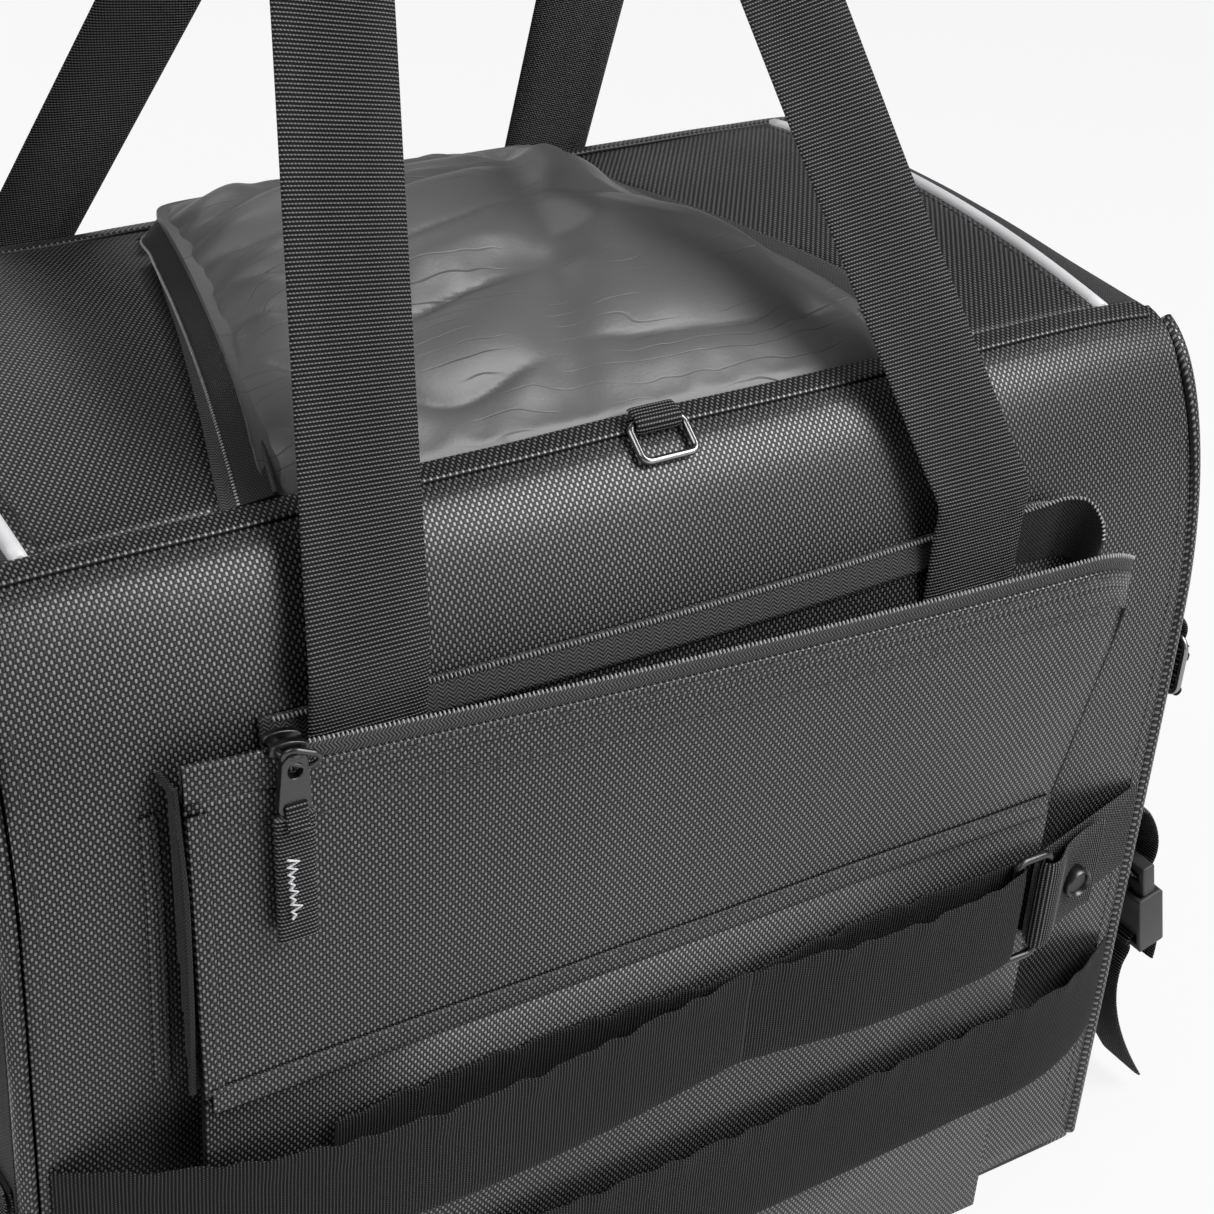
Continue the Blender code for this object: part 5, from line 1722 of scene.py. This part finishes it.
    def gusset(self):
        """Two tapes that meet at the closed zip, and a bound edge under the vinyl."""
        lower = strip_sections("lid_gusset_lower")
        upper = strip_sections("lid_gusset_upper")
        if np.linalg.norm(lower[0, :3] - upper[0, :3]) > np.linalg.norm(lower[0, :3] - upper[-1, :3]):
            upper = upper[::-1]
        foot, zip_line, edge = self.gusset_lines(lower, upper)
        tapes = (
            ("lid_gusset_lower", foot, zip_line, "zip_tape", "bag"),
            ("lid_gusset_upper", zip_line, edge, "side_cloth", "lid"),
        )
        for node, low, high, finish, body in tapes:
            rows = np.column_stack(((low + high) / 2, (high - low) / 2, lower[:, 6]))
            mesh = strip_mesh(node, rows)
            PIECES[node] = add_piece(node + "_tape", mesh, finish, body, node)
        teeth = []
        binding = []
        rows = np.column_stack((zip_line, edge, lower[:, 6]))
        for row in smooth_rows(rows, SHORT_STEP)[0]:
            across = Vector(row[3:6] - row[:3]).normalized()
            out = across.cross(UP).cross(across).normalized()
            if row[0] < TEETH_RIGHT or row[1] > TEETH_REAR:
                teeth.append((Vector(row[:3]) + out * LID_TEETH_LIFT, out))
            binding.append(Vector(row[3:6]) + out * BINDING_LIFT)
        bead_rows("lid_zip_teeth", [teeth], LID_TEETH, "zip_teeth", "lid")
        add_piece("lid_binding", wire_mesh(binding, BINDING_R), "thread", "lid")

    def gusset_lines(self, lower, upper):
        """Foot, zip and upper edge of the gusset; on the left the full vinyl leaves the zip low."""
        rise = upper[:, :3] - lower[:, :3]
        rise /= np.linalg.norm(rise, axis=1)[:, None]
        foot = lower[:, :3] - rise * (GUSSET_FOOT + np.linalg.norm(lower[:, 3:6], axis=1)[:, None])
        edge = upper[:, :3] + rise * np.linalg.norm(upper[:, 3:6], axis=1)[:, None]
        middle = (foot + edge) / 2
        backs = [lid_depth(y) for y in edge[:, 1]]
        for row, back in enumerate(backs):
            edge[row, 0] -= end_draw(edge[row, 0], back)
        left = np.clip((LOW_ZIP_X - foot[:, 0]) / LOW_ZIP_RUN, 0, 1)
        low_share = np.maximum(LOW_ZIP_LEAST, LOW_ZIP_FRONT - LOW_ZIP_FALL * np.square(backs))
        low_zip = foot + (edge - foot) * low_share[:, None]
        zip_line = middle + (low_zip - middle) * left[:, None]
        return foot, zip_line, edge


# The handles' webbing: half length of its bend, rib, and spacing of the rows it runs through
HANDLE_BEND = 0.012
HANDLE_RIB = 0.16
HANDLE_LEAST = 0.005
HANDLE_STEP = 0.011


class TAILBAG_OT_handles(TailBagOperator, bpy.types.Operator):
    """Carrying handles, their feet and grips."""

    bl_idname = "tailbag.handles"
    bl_label = "Handles"

    def execute(self, context):
        for wall in ("front", "rear"):
            for end in ("left", "right"):
                self.leg(wall, end)
            self.grip(f"{wall}_grip")
        return {"FINISHED"}

    def leg(self, wall, end):
        """One run of webbing from the sewn foot up to the grip, which bends at the handle's pivot."""
        strap = f"{wall}_handle_{end}_strap"
        foot = f"{wall}_{end}_handle_foot"
        pivot = np.array(JOINTS[f"{wall}_handle_swing"]["pos_m"])
        upper = from_pivot(strip_sections(strap), pivot)
        lower = from_pivot(strip_sections(foot), pivot)[::-1]
        if upper[0, 3:6] @ lower[-1, 3:6] < 0:
            upper[:, 3:6] *= -1
        rows = stepped(spaced(np.concatenate((lower, upper)), HANDLE_LEAST), HANDLE_STEP)
        mesh = strip_mesh(strap, rows, cloth_sizes().rib_pitch, HANDLE_RIB)
        turn = UP * HANDLE_BEND
        bends = (f"{wall}_handle", Vector(pivot) - turn, Vector(pivot) + turn)
        PIECES[strap] = add_piece(strap + "_weave", mesh, "webbing", "bag", strap, foot, bends=bends)

    def grip(self, node):
        """The padded wrap that holds both legs together."""
        mesh = softened(node, 4, ALL_SMOOTH)
        map_cloth(mesh, lambda place: (place.z + place.y, place.x))
        PIECES[node] = add_piece(node + "_wrap", mesh, "webbing", body_of(node), node)
        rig.padded(PIECES[node], fill=0.9)


# Ruffled upper edges of the mounting straps: reach, fade at the ends, out, down; length, share and start of
# each wave
RUFFLE_REACH = 0.012
RUFFLE_FADE = 0.03
RUFFLE_OUT = 0.0014
RUFFLE_DROP = 0.0014
RUFFLE_WAVES = ((0.0173, 1.0, 0.0), (0.0112, 0.6, 1.0), (0.031, 0.7, 2.0))

# The straps' rib in shares of the half thickness, and the corner of the ring's wire
STRAP_RIB = 0.1
STRAP_RING_CORNER = 0.004

# Half of the snap cap's section, in shares of its radius and its height, and the stud's edge
SNAP_SHAPE = (
    (0, 0), (1, 0), (1, 0.55), (0.94, 0.9), (0.84, 1), (0.74, 0.9), (0.68, 0.62), (0.4, 0.52), (0, 0.5))
STUD_EDGE = 0.0004


class TAILBAG_OT_mount_straps(TailBagOperator, bpy.types.Operator):
    """Mounting straps, the ring one is folded round, its tab and snap."""

    bl_idname = "tailbag.mount_straps"
    bl_label = "Mounting straps"

    def execute(self, context):
        for node in ("upper_mount_strap", "lower_mount_strap"):
            PIECES[node] = webbing_piece(node, "loop_tape", STRAP_RIB, bend=self.ruffled(node))
        for node in ("ring_tab_base", "ring_tab_flap"):
            PIECES[node] = webbing_piece(node)
        low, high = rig.box("strap_ring")
        wire = (high.y - low.y) / 2
        points = ring_points(
            (low + high) / 2, RIGHT, UP,
            (high.x - low.x) / 2 - wire, (high.z - low.z) / 2 - wire, STRAP_RING_CORNER)
        PIECES["strap_ring"] = add_piece(
            "strap_ring_wire", wire_mesh(points, wire, True), "gunmetal", "bag", "strap_ring")
        self.snap()
        return {"FINISHED"}

    def ruffled(self, node):
        """A map that ruffles the upper edge of a strap, outwards and down."""
        low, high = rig.box(node)
        most = sum(share for length, share, start in RUFFLE_WAVES)

        def ruffle(spot):
            near = ease((spot.z - high.z) / RUFFLE_REACH + 1)
            near *= ease((spot.x - low.x) / RUFFLE_FADE) * ease((high.x - spot.x) / RUFFLE_FADE)
            wave = sum(
                share * math.sin(TURN * spot.x / length + start) for length, share, start in RUFFLE_WAVES)
            height = near * (1 + wave / most) / 2
            return spot - Vector((0, RUFFLE_OUT, RUFFLE_DROP)) * height

        return ruffle

    def snap(self):
        """Cap with a raised rim, and the stud under it."""
        low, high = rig.box("snap_cap")
        radius = (high.x - low.x) / 2
        depth = high.y - low.y
        face = Vector(((low.x + high.x) / 2, high.y, (low.z + high.z) / 2))
        profile = [(radius * a, depth * b) for a, b in SNAP_SHAPE]
        add_piece("snap_cap_button", turned_mesh(profile, face, -BACK), "gunmetal", "snap_tab", "snap_cap")
        add_piece("snap_stud_button", rounded("snap_stud", STUD_EDGE), "gunmetal", "bag", "snap_stud")


# The side rings' crumpled web: rows, margins, swing and turn of its folds, place, half width and thickness
BUNCH_ROWS = 9
BUNCH_TOP = 0.004
BUNCH_SHORT = 0.006
BUNCH_FOLD = 0.0008
BUNCH_TURN = 2.2
BUNCH_OUT = 0.0012
BUNCH_IN = 0.0066
BUNCH_HALF = 0.0048
BUNCH_HALF_T = 0.002

# Corner of a wire ring, in shares of its smaller half
RING_CORNER = 0.42


class TAILBAG_OT_rings(TailBagOperator, bpy.types.Operator):
    """Wire rings on their webbing loops."""

    bl_idname = "tailbag.rings"
    bl_label = "Rings"

    def execute(self, context):
        for node in ("ring_loop", "left_ring_loop", "right_ring_loop"):
            PIECES[node] = webbing_piece(node)
        self.ring("top_ring", "top_ring_swing", RIGHT)
        for end, sign in (("left", -1), ("right", 1)):
            self.ring(f"{end}_side_ring", f"{end}_ring_swing", BACK)
            self.bunch(end, sign)
        return {"FINISHED"}

    def bunch(self, end, sign):
        """A short web crumpled inside the side ring."""
        low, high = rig.box(f"{end}_side_ring")
        middle = (low + high) / 2
        rows = []
        for step in range(BUNCH_ROWS):
            z = high.z - BUNCH_TOP - (high.z - low.z - BUNCH_SHORT) * step / (BUNCH_ROWS - 1)
            out = BUNCH_FOLD * (-1) ** step + BUNCH_OUT
            y = low.y + BUNCH_IN + BUNCH_FOLD * math.sin(BUNCH_TURN * step)
            rows.append([middle.x + sign * out, y, z, 0, BUNCH_HALF, 0, BUNCH_HALF_T])
        mesh = strip_mesh("bunch", np.array(rows))
        add_piece(f"{end}_ring_bunch", mesh, "webbing", f"{end}_ring")

    def ring(self, node, joint, along):
        """A wire bent to a rounded rectangle that hangs from its joint."""
        places = [vertex.co for vertex in NODES[node].data.vertices]
        pivot = Vector(JOINTS[joint]["pos_m"])
        middle = sum(places, Vector()) / len(places)
        hang = middle - pivot
        hang -= along * hang.dot(along)
        across = along.cross(hang).normalized()
        reach = [(place - pivot).dot(across) for place in places]
        wire = (max(reach) - min(reach)) / 2
        spread = [(place - pivot).dot(along) for place in places]
        half = (max(spread) - min(spread)) / 2 - wire
        corner = min(half, hang.length) * RING_CORNER
        points = ring_points(pivot + hang, along, hang.normalized(), half, hang.length, corner)
        mesh = wire_mesh(points, wire, True)
        PIECES[node] = add_piece(node + "_wire", mesh, "nickel", body_of(node), node)


# Rounding of the buckles' edges, and how much of the web above them moves with the bend
BUCKLE_EDGE = 0.0011
WEB_CRUMPLE = 0.7


class TAILBAG_OT_buckles(TailBagOperator, bpy.types.Operator):
    """Side-release buckles, their webs and the tie-down straps."""

    bl_idname = "tailbag.buckles"
    bl_label = "Buckles"

    def execute(self, context):
        for end in ("left", "right"):
            for half in ("female", "male"):
                node = f"{end}_buckle_{half}"
                mesh = rounded(node, BUCKLE_EDGE)
                PIECES[node] = add_piece(node + "_shell", mesh, "plastic", body_of(node), node)
            PIECES[f"{end}_tie_strap"] = webbing_piece(f"{end}_tie_strap")
            self.web(end)
        return {"FINISHED"}

    def web(self, end):
        """The short web above the buckle, whose top stays on the bag as the buckle lets go."""
        node = f"{end}_buckle_web"
        low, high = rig.box(node)
        top = Vector(((low.x + high.x) / 2, (low.y + high.y) / 2, high.z))
        foot = top - UP * (WEB_CRUMPLE * (high.z - low.z))
        moved = JOINTS[f"{end}_buckle_release"]["child"]
        PIECES[node] = webbing_piece(node, bends=(moved, top, foot))


# Pull plates: edge; width, taper, corner and eye in shares of the half width; the eye's place, length and
# corner in shares of its half; the slot
PLATE_EDGE = 0.0004
PLATE_WIDE = 0.86
PLATE_TAPER = 0.14
PLATE_CORNER = 0.55
PLATE_EYE = 0.52
EYE_IN = 1.9
EYE_LONG = 1.05
EYE_CORNER = 0.95
SLOT_UP = 0.0034
SLOT_WIDE = 0.7
SLOT_HALF = 0.0014
SLOT_CORNER = 0.0012

# The webbing's turn through the slot: half width and thickness, height, steps back and up from its marks
LOOP_HALF = 0.0034
LOOP_HALF_T = 0.0005
LOOP_UP = 0.0036
LOOP_STEPS = ((0.0006, -0.003), (-0.0008, 0.0008), (-0.0006, -0.0004), (0.0, 0.0004))

# The wire link above the plate: the ways it hangs and turns, place, half sizes, corner, radius
LINK_HANG = Vector((0.25, -0.45, 0.85))
LINK_AXIS = Vector((0.3, 0.9, 0.4))
LINK_SHIFT = Vector((0.0015, -0.0002, -0.0012))
LINK_HALF = 0.0052
LINK_REACH = 0.0032
LINK_CORNER = 0.003
LINK_R = 0.0009

# The slider: plates as place and half thickness in shares of the half depth, width and taper of their egg
# shape, size and place of the neck between them, steps round a plate, edges
SLIDER_PLATES = ((0.72, 0.28), (-0.72, 0.28), (0.0, 0.5))
SLIDER_WIDE = 0.86
SLIDER_TAPER = 0.14
SLIDER_NECK = 0.35
NECK_BACK = 0.5
SLIDER_STEPS = 36
SLIDER_EDGE = 0.0006
SLIDER_SHARP = 40
LID_SLIDER_EDGE = 0.0013

# The slider's bridge: reach in shares of the half length, height, radius, steps
BRIDGE_REACH = 0.62
BRIDGE_HIGH = 0.0034
BRIDGE_R = 0.0011
BRIDGE_STEPS = 16

# The bar tack on the pull: points, place, length, drift, least width, how that varies, lift, radius
TACK_POINTS = 17
TACK_IN = 0.002
TACK_DROP = 0.011
TACK_LONG = 0.021
TACK_DRIFT = 0.0016
TACK_LEAST = 0.0012
TACK_VARY = 0.0088
TACK_PACE = 0.9
TACK_SEED = (3.1, 0.7)
TACK_LIFT = 0.0004
TACK_R = 0.00042


class TAILBAG_OT_sliders(TailBagOperator, bpy.types.Operator):
    """Zip sliders with their pulls."""

    bl_idname = "tailbag.sliders"
    bl_label = "Sliders"

    def execute(self, context):
        self.slider("pocket_slider", Vector(JOINTS["pocket_slider_slide"]["axis"]), UP)
        PIECES["lid_slider"] = add_piece(
            "lid_slider_body", rounded("lid_slider", LID_SLIDER_EDGE), "gunmetal", "lid_slider",
            "lid_slider")
        self.pull_plate("pocket_pull_tab", 1)
        self.pull_plate("lid_pull", -1)
        PIECES["pocket_pull_web"] = webbing_piece("pocket_pull_web")
        self.pull_loop()
        self.tack()
        return {"FINISHED"}

    def pull_plate(self, node, eye_side):
        """A tapered plate with a round eye at one end and a slot at the other."""
        low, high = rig.box(node)
        middle = (low + high) / 2
        spans = high - low
        flat = min(range(3), key=lambda axis: spans[axis])
        long = max(range(3), key=lambda axis: spans[axis])
        across = 3 - flat - long
        half = spans[across] / 2
        reach = spans[long] / 2
        mesh = self.flat_plate(half, reach, spans[flat] / 2)
        build = bmesh.new()
        build.from_mesh(mesh)
        for vertex in build.verts:
            place = vertex.co.copy()
            vertex.co = middle
            vertex.co[across] += place.x
            vertex.co[long] += place.y * eye_side
            vertex.co[flat] += place.z
        bmesh.ops.remove_doubles(build, verts=build.verts, dist=WELD)
        bmesh.ops.recalc_face_normals(build, faces=build.faces)
        mesh = mesh_from(build, node)
        PIECES[node] = add_piece(node + "_plate", mesh, "gunmetal", body_of(node), node)

    def flat_plate(self, half, reach, half_t):
        """The plate lying level at the origin, its eye towards the back."""
        outline = ring_points(
            Vector(), RIGHT, BACK, half - PLATE_EDGE, reach - PLATE_EDGE, half * PLATE_CORNER)
        for point in outline:
            point.x *= PLATE_WIDE - PLATE_TAPER * point.y / reach
        eye = half * PLATE_EYE
        eye_at = BACK * (reach - eye * EYE_IN)
        slot_at = BACK * (-reach + SLOT_UP)
        holes = (
            ring_points(eye_at, RIGHT, BACK, eye, eye * EYE_LONG, eye * EYE_CORNER),
            ring_points(slot_at, RIGHT, BACK, half * SLOT_WIDE, SLOT_HALF, SLOT_CORNER),
        )
        curve = bpy.data.curves.new("plate", "CURVE")
        curve.dimensions = "2D"
        curve.fill_mode = "BOTH"
        curve.extrude = half_t - PLATE_EDGE
        curve.bevel_depth = PLATE_EDGE
        curve.bevel_resolution = 2
        for points in (outline, *holes):
            add_line(curve, points, True)
        return plain_mesh(link("plate", curve))

    def pull_loop(self):
        """The webbing's turn through the plate's slot, and the link from the plate to the slider."""
        low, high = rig.box("pocket_pull_web")
        plate_low, plate_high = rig.box("pocket_pull_tab")
        x = (plate_low.x + plate_high.x) / 2
        slot = plate_low.z + LOOP_UP
        marks = (
            (low.y, high.z), (plate_low.y, high.z), (plate_low.y, slot),
            ((plate_low.y + plate_high.y) / 2, slot))
        rows = np.array([
            [x, y + back, z + up, LOOP_HALF, 0, 0, LOOP_HALF_T]
            for (y, z), (back, up) in zip(marks, LOOP_STEPS)])
        hang = LINK_HANG.normalized()
        across = hang.cross(LINK_AXIS).normalized()
        link_at = Vector((x, plate_low.y, plate_high.z)) + LINK_SHIFT
        oval = ring_points(link_at, across, hang, LINK_HALF, LINK_REACH, LINK_CORNER)
        add_piece("pocket_pull_link", wire_mesh(oval, LINK_R, True), "gunmetal", "pocket_slider")
        mesh = strip_mesh("pull_loop", rows, cloth_sizes().rib_pitch, WEBBING_RIB)
        add_piece("pocket_pull_loop", mesh, "webbing", "pocket_pull")

    def slider(self, node, along, up):
        """Two egg-shaped plates joined at the nose, with a bridge for the pull."""
        low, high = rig.box(node)
        middle = (low + high) / 2
        out = along.cross(up).normalized()
        length = (high.x - low.x) / 2
        height = (high.z - low.z) / 2
        depth = (high.y - low.y) / 2 - length * abs(along.y)
        build = bmesh.new()
        for place, thick in SLIDER_PLATES:
            share = 1.0 if place else SLIDER_NECK
            rim = []
            for step in range(SLIDER_STEPS):
                angle = TURN * step / SLIDER_STEPS
                a = math.cos(angle) * length * share - (0 if place else length * NECK_BACK)
                b = math.sin(angle) * height * (SLIDER_WIDE - SLIDER_TAPER * math.cos(angle)) * share
                rim.append(build.verts.new(middle + along * a + up * b + out * depth * (place - thick)))
            base = build.faces.new(rim)
            made = bmesh.ops.extrude_face_region(build, geom=[base])
            tops = [item for item in made["geom"] if isinstance(item, bmesh.types.BMVert)]
            bmesh.ops.translate(build, verts=tops, vec=out * depth * thick * 2)
        bmesh.ops.recalc_face_normals(build, faces=build.faces)
        mesh = bevelled(mesh_from(build, node), SLIDER_EDGE, SLIDER_SHARP)
        PIECES[node] = add_piece(node + "_body", mesh, "gunmetal", body_of(node), node)
        arch = []
        for step in range(BRIDGE_STEPS + 1):
            angle = math.pi * step / BRIDGE_STEPS
            rise = out * (depth + math.sin(angle) * BRIDGE_HIGH)
            arch.append(middle + along * (math.cos(angle) * length * BRIDGE_REACH) + rise)
        add_piece(node + "_bridge", wire_mesh(arch, BRIDGE_R), "gunmetal", body_of(node))

    def tack(self):
        """White zigzag that closes the pull's webbing."""
        low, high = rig.box("pocket_pull_web")
        points = []
        for step in range(TACK_POINTS):
            share = step / (TACK_POINTS - 1)
            wide = TACK_LEAST + TACK_VARY * noise.noise(Vector((step * TACK_PACE, *TACK_SEED))) ** 2
            x = low.x + TACK_IN + TACK_DRIFT * share + wide * (step % 2)
            points.append(Vector((x, low.y - TACK_LIFT, high.z - TACK_DROP - share * TACK_LONG)))
        add_piece("pull_tack", wire_mesh(points, TACK_R), "tack_thread", "pocket_pull")


class TAILBAG_OT_boards(TailBagOperator, bpy.types.Operator):
    """Lining on the boards inside the bag."""

    bl_idname = "tailbag.boards"
    bl_label = "Boards"

    def execute(self, context):
        for node in ("wall_board", "base_board"):
            materials = NODES[node].data.materials
            materials.clear()
            materials.append(finish_of("lining"))
        return {"FINISHED"}


# Rows of stitches: distances from the top seam, from the pipings and below the flap's edge, and margins
SEAM_ROWS = (0.0072, 0.0105)
SEAM_ROW_SHARE = 0.95
PIPING_ROW = 0.0048
PIPING_ROW_FOOT = 0.02
PIPING_ROW_TOP = 0.7
REFLECT_X = 0.194
REFLECT_ROW = 0.0062
ROW_MARGIN = 0.006
FLAP_ROWS = (0.011, 0.014)


class TAILBAG_OT_stitches(TailBagOperator, bpy.types.Operator):
    """Rows of stitching on the seams."""

    bl_idname = "tailbag.stitches"
    bl_label = "Stitches"

    def execute(self, context):
        rows = []
        reach = SEAM_ROW_SHARE * HALF_W
        side = HALF_W - PIPING_ROW
        top = SPRING_Z + PIPING_ROW_TOP * SHOULDER_HEIGHT
        for wall, sign in (("front_panel", -1), ("rear_panel", 1)):
            for out in SEAM_ROWS:
                y = sign * (SEAM_Y + out)
                rows.append(cast(PIECES[wall], between((-reach, y, 0), (reach, y, 0)), -UP))
            for x in (-side, side):
                line = between((x, 0, PIPING_ROW_FOOT), (x, 0, top), LONG_STEP)
                rows.append(cast(PIECES[wall], line, -sign * BACK))
        depth = SEAM_Y - ROW_MARGIN
        inside = REFLECT_X - REFLECT_ROW
        for x in (inside, -inside):
            line = between((x, -depth, 0), (x, depth, 0), LONG_STEP)
            rows.append(cast(PIECES["top_panel"], line, -UP))
        bead_rows("seam_stitches", rows, stitch_sizes(), "thread", "bag")
        flap_rows = []
        for drop in FLAP_ROWS:
            z = FLAP_HI.z - drop
            line = between((FLAP_LO.x + ROW_MARGIN, 0, z), (FLAP_HI.x - ROW_MARGIN, 0, z))
            flap_rows.append(cast(PIECES["pocket_flap"], line, BACK))
        bead_rows("flap_stitches", flap_rows, stitch_sizes(), "thread", "pocket_flap")
        return {"FINISHED"}


# Teeth of the back tape: below its upper edge, short of its right end, lift
BACK_TEETH_DROP = 0.001
BACK_TEETH_STOP = 0.01
BACK_TEETH_LIFT = 0.0006


class TAILBAG_OT_zip_teeth(TailBagOperator, bpy.types.Operator):
    """Teeth on both tapes of the pocket's open zip."""

    bl_idname = "tailbag.zip_teeth"
    bl_label = "Zip teeth"

    def execute(self, context):
        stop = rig.box("pocket_slider")[1].x
        rows = smooth_rows(strip_sections("pocket_zip_front"), SHORT_STEP)[0]
        row = []
        for place in rows:
            side = Vector(place[3:6])
            edge = Vector(place[:3]) + (side if side.z > 0 else -side)
            if edge.x > stop:
                row.append((sagged(edge), FACE_UP))
        bead_rows("flap_zip_teeth", [row], coil_sizes(), "zip_teeth", "pocket_flap")
        z = BACK_ZIP_HI.z - BACK_TEETH_DROP
        line = between((BACK_ZIP_LO.x, 0, z), (BACK_ZIP_HI.x - BACK_TEETH_STOP, 0, z))
        places = [sagged(place) for place in line]
        back = cast(PIECES["pocket_zip_back"], places, BACK, BACK_TEETH_LIFT)
        bead_rows("back_zip_teeth", [back], coil_sizes(), "zip_teeth", "bag")
        return {"FINISHED"}


# Softboxes: name, place, target, side length
SOFTBOXES = (
    ("key", (0.6, -1.9, 1.0), (0, 0, 0.25), 1.2),
    ("sheen", (1.0, -1.1, 1.75), (0, 0, 0.3), 1.1),
    ("back", (0.2, 1.7, 1.5), (0, 0, 0.35), 1.0),
    ("rear", (-0.4, 1.9, 0.25), (0, 0.14, 0.2), 0.5),
    ("fill", (-1.5, 0.0, 1.8), (0, 0, 0.3), 1.2),
)

# The photograph's camera, fitted to the bag's edges
CAMERA_RIGHT = Vector((0.83972, -0.53916, 0.06461))
CAMERA_UP = Vector((0.23199, 0.46377, 0.85504))
CAMERA_PLACE = Vector((-0.3937, -0.6559, 0.6995))
SENSOR_MM = 36.0
CAMERA_NEAR = 0.01

# The pale ground: half width of the floor, and how white the camera sees floor and sky
FLOOR_HALF = 6
FLOOR_WHITE = 0.86
SKY_WHITE = 0.9
WHITE = (1, 1, 1, 1)


class TAILBAG_OT_studio(TailBagOperator, bpy.types.Operator):
    """Floor, lights and the camera of the photograph."""

    bl_idname = "tailbag.studio"
    bl_label = "Studio"

    def execute(self, context):
        studio = context.scene.tail_bag_studio
        self.floor()
        self.sky(context, studio.sky)
        for name, place, target, size in SOFTBOXES:
            self.softbox(f"{name}_light", getattr(studio, f"{name}_power"), place, target, size)
        self.camera(context, studio.lens)
        context.scene.view_settings.view_transform = "Standard"
        return {"FINISHED"}

    def floor(self):
        """A pale floor that the camera sees as white, with a faint shadow."""
        build = bmesh.new()
        bmesh.ops.create_grid(build, x_segments=1, y_segments=1, size=FLOOR_HALF)
        floor = link("floor", mesh_from(build, "floor"))
        finish = Finish("floor")
        pale = finish.node("ShaderNodeBsdfDiffuse", inputs={0: grey(0.8)})
        white = finish.node("ShaderNodeEmission", inputs={0: WHITE, 1: 1.0})
        seen = finish.node("ShaderNodeLightPath", output=0)
        mirrored = finish.node("ShaderNodeLightPath", output=3)
        share = (seen + mirrored) * FLOOR_WHITE
        finish.node_out(finish.node("ShaderNodeMixShader", inputs={0: share, 1: pale, 2: white}))
        floor.data.materials.append(finish.material)
        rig.stage(floor)

    def sky(self, context, strength):
        """Even light from all round, which the camera sees as white."""
        world = bpy.data.worlds.new("studio")
        world.use_nodes = True
        nodes = world.node_tree.nodes
        ground = nodes["Background"]
        pale = nodes.new("ShaderNodeBackground")
        for item, level in ((ground, strength), (pale, SKY_WHITE)):
            item.inputs[0].default_value = WHITE
            item.inputs[1].default_value = level
        mixed = nodes.new("ShaderNodeMixShader")
        for source, socket in (
            (nodes.new("ShaderNodeLightPath").outputs[0], mixed.inputs[0]),
            (ground.outputs[0], mixed.inputs[1]),
            (pale.outputs[0], mixed.inputs[2]),
            (mixed.outputs[0], nodes["World Output"].inputs[0]),
        ):
            world.node_tree.links.new(source, socket)
        context.scene.world = world

    def softbox(self, name, power, place, target, size):
        """A square area light turned to a target."""
        lamp = bpy.data.lights.new(name, "AREA")
        lamp.shape = "SQUARE"
        lamp.size = size
        lamp.energy = power
        made = bpy.data.objects.new(name, lamp)
        made.location = place
        made.rotation_euler = (Vector(target) - Vector(place)).to_track_quat("-Z", "Y").to_euler()
        bpy.context.scene.collection.objects.link(made)

    def camera(self, context, lens):
        """The photograph's viewpoint, from the front left and above."""
        view = bpy.data.cameras.new("photo_view")
        view.lens = lens
        view.sensor_width = SENSOR_MM
        view.clip_start = CAMERA_NEAR
        made = bpy.data.objects.new("photo_view", view)
        turn = Matrix((CAMERA_RIGHT, CAMERA_UP, CAMERA_RIGHT.cross(CAMERA_UP))).transposed()
        made.matrix_world = Matrix.Translation(CAMERA_PLACE) @ turn.to_4x4()
        context.scene.collection.objects.link(made)
        context.scene.camera = made


OPERATORS = (
    TAILBAG_OT_panels,
    TAILBAG_OT_seam_folds,
    TAILBAG_OT_pipings,
    TAILBAG_OT_pocket,
    TAILBAG_OT_lid,
    TAILBAG_OT_handles,
    TAILBAG_OT_mount_straps,
    TAILBAG_OT_rings,
    TAILBAG_OT_buckles,
    TAILBAG_OT_sliders,
    TAILBAG_OT_boards,
    TAILBAG_OT_stitches,
    TAILBAG_OT_zip_teeth,
    TAILBAG_OT_studio,
)


class TAILBAG_PT_dress(bpy.types.Panel):
    """Buttons for the bag's pieces and the settings they use."""

    bl_idname = "TAILBAG_PT_dress"
    bl_label = "Tail Bag"
    bl_space_type = "VIEW_3D"
    bl_region_type = "UI"
    bl_category = "Tail Bag"

    def draw(self, context):
        for operator in OPERATORS:
            self.layout.operator(operator.bl_idname)
        for group in ("tail_bag_cloth", "tail_bag_colours", "tail_bag_studio"):
            settings = getattr(context.scene, group)
            for name in settings.__annotations__:
                self.layout.prop(settings, name)


GROUPS = {
    "tail_bag_cloth": TailBagCloth,
    "tail_bag_colours": TailBagColours,
    "tail_bag_studio": TailBagStudio,
}
CLASSES = (*GROUPS.values(), *OPERATORS, TAILBAG_PT_dress)


def register():
    """Register the classes and hang the settings on the scene."""
    for item in CLASSES:
        bpy.utils.register_class(item)
    for name, group in GROUPS.items():
        setattr(bpy.types.Scene, name, bpy.props.PointerProperty(type=group))


def unregister():
    """Undo register."""
    for name in GROUPS:
        delattr(bpy.types.Scene, name)
    for item in reversed(CLASSES):
        bpy.utils.unregister_class(item)


def main():
    """Dress the bag and write its sizes."""
    register()
    for operator in OPERATORS:
        group, name = operator.bl_idname.split(".")
        getattr(getattr(bpy.ops, group), name)()
    boxes = {"cad": CAD_BOX, "visual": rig.bounds()}
    sizes = {name: [list(corner) for corner in corners] for name, corners in boxes.items()}
    with open(SIZE_FILE, "w") as file:
        json.dump(sizes, file)


if __name__ == "__main__":
    main()
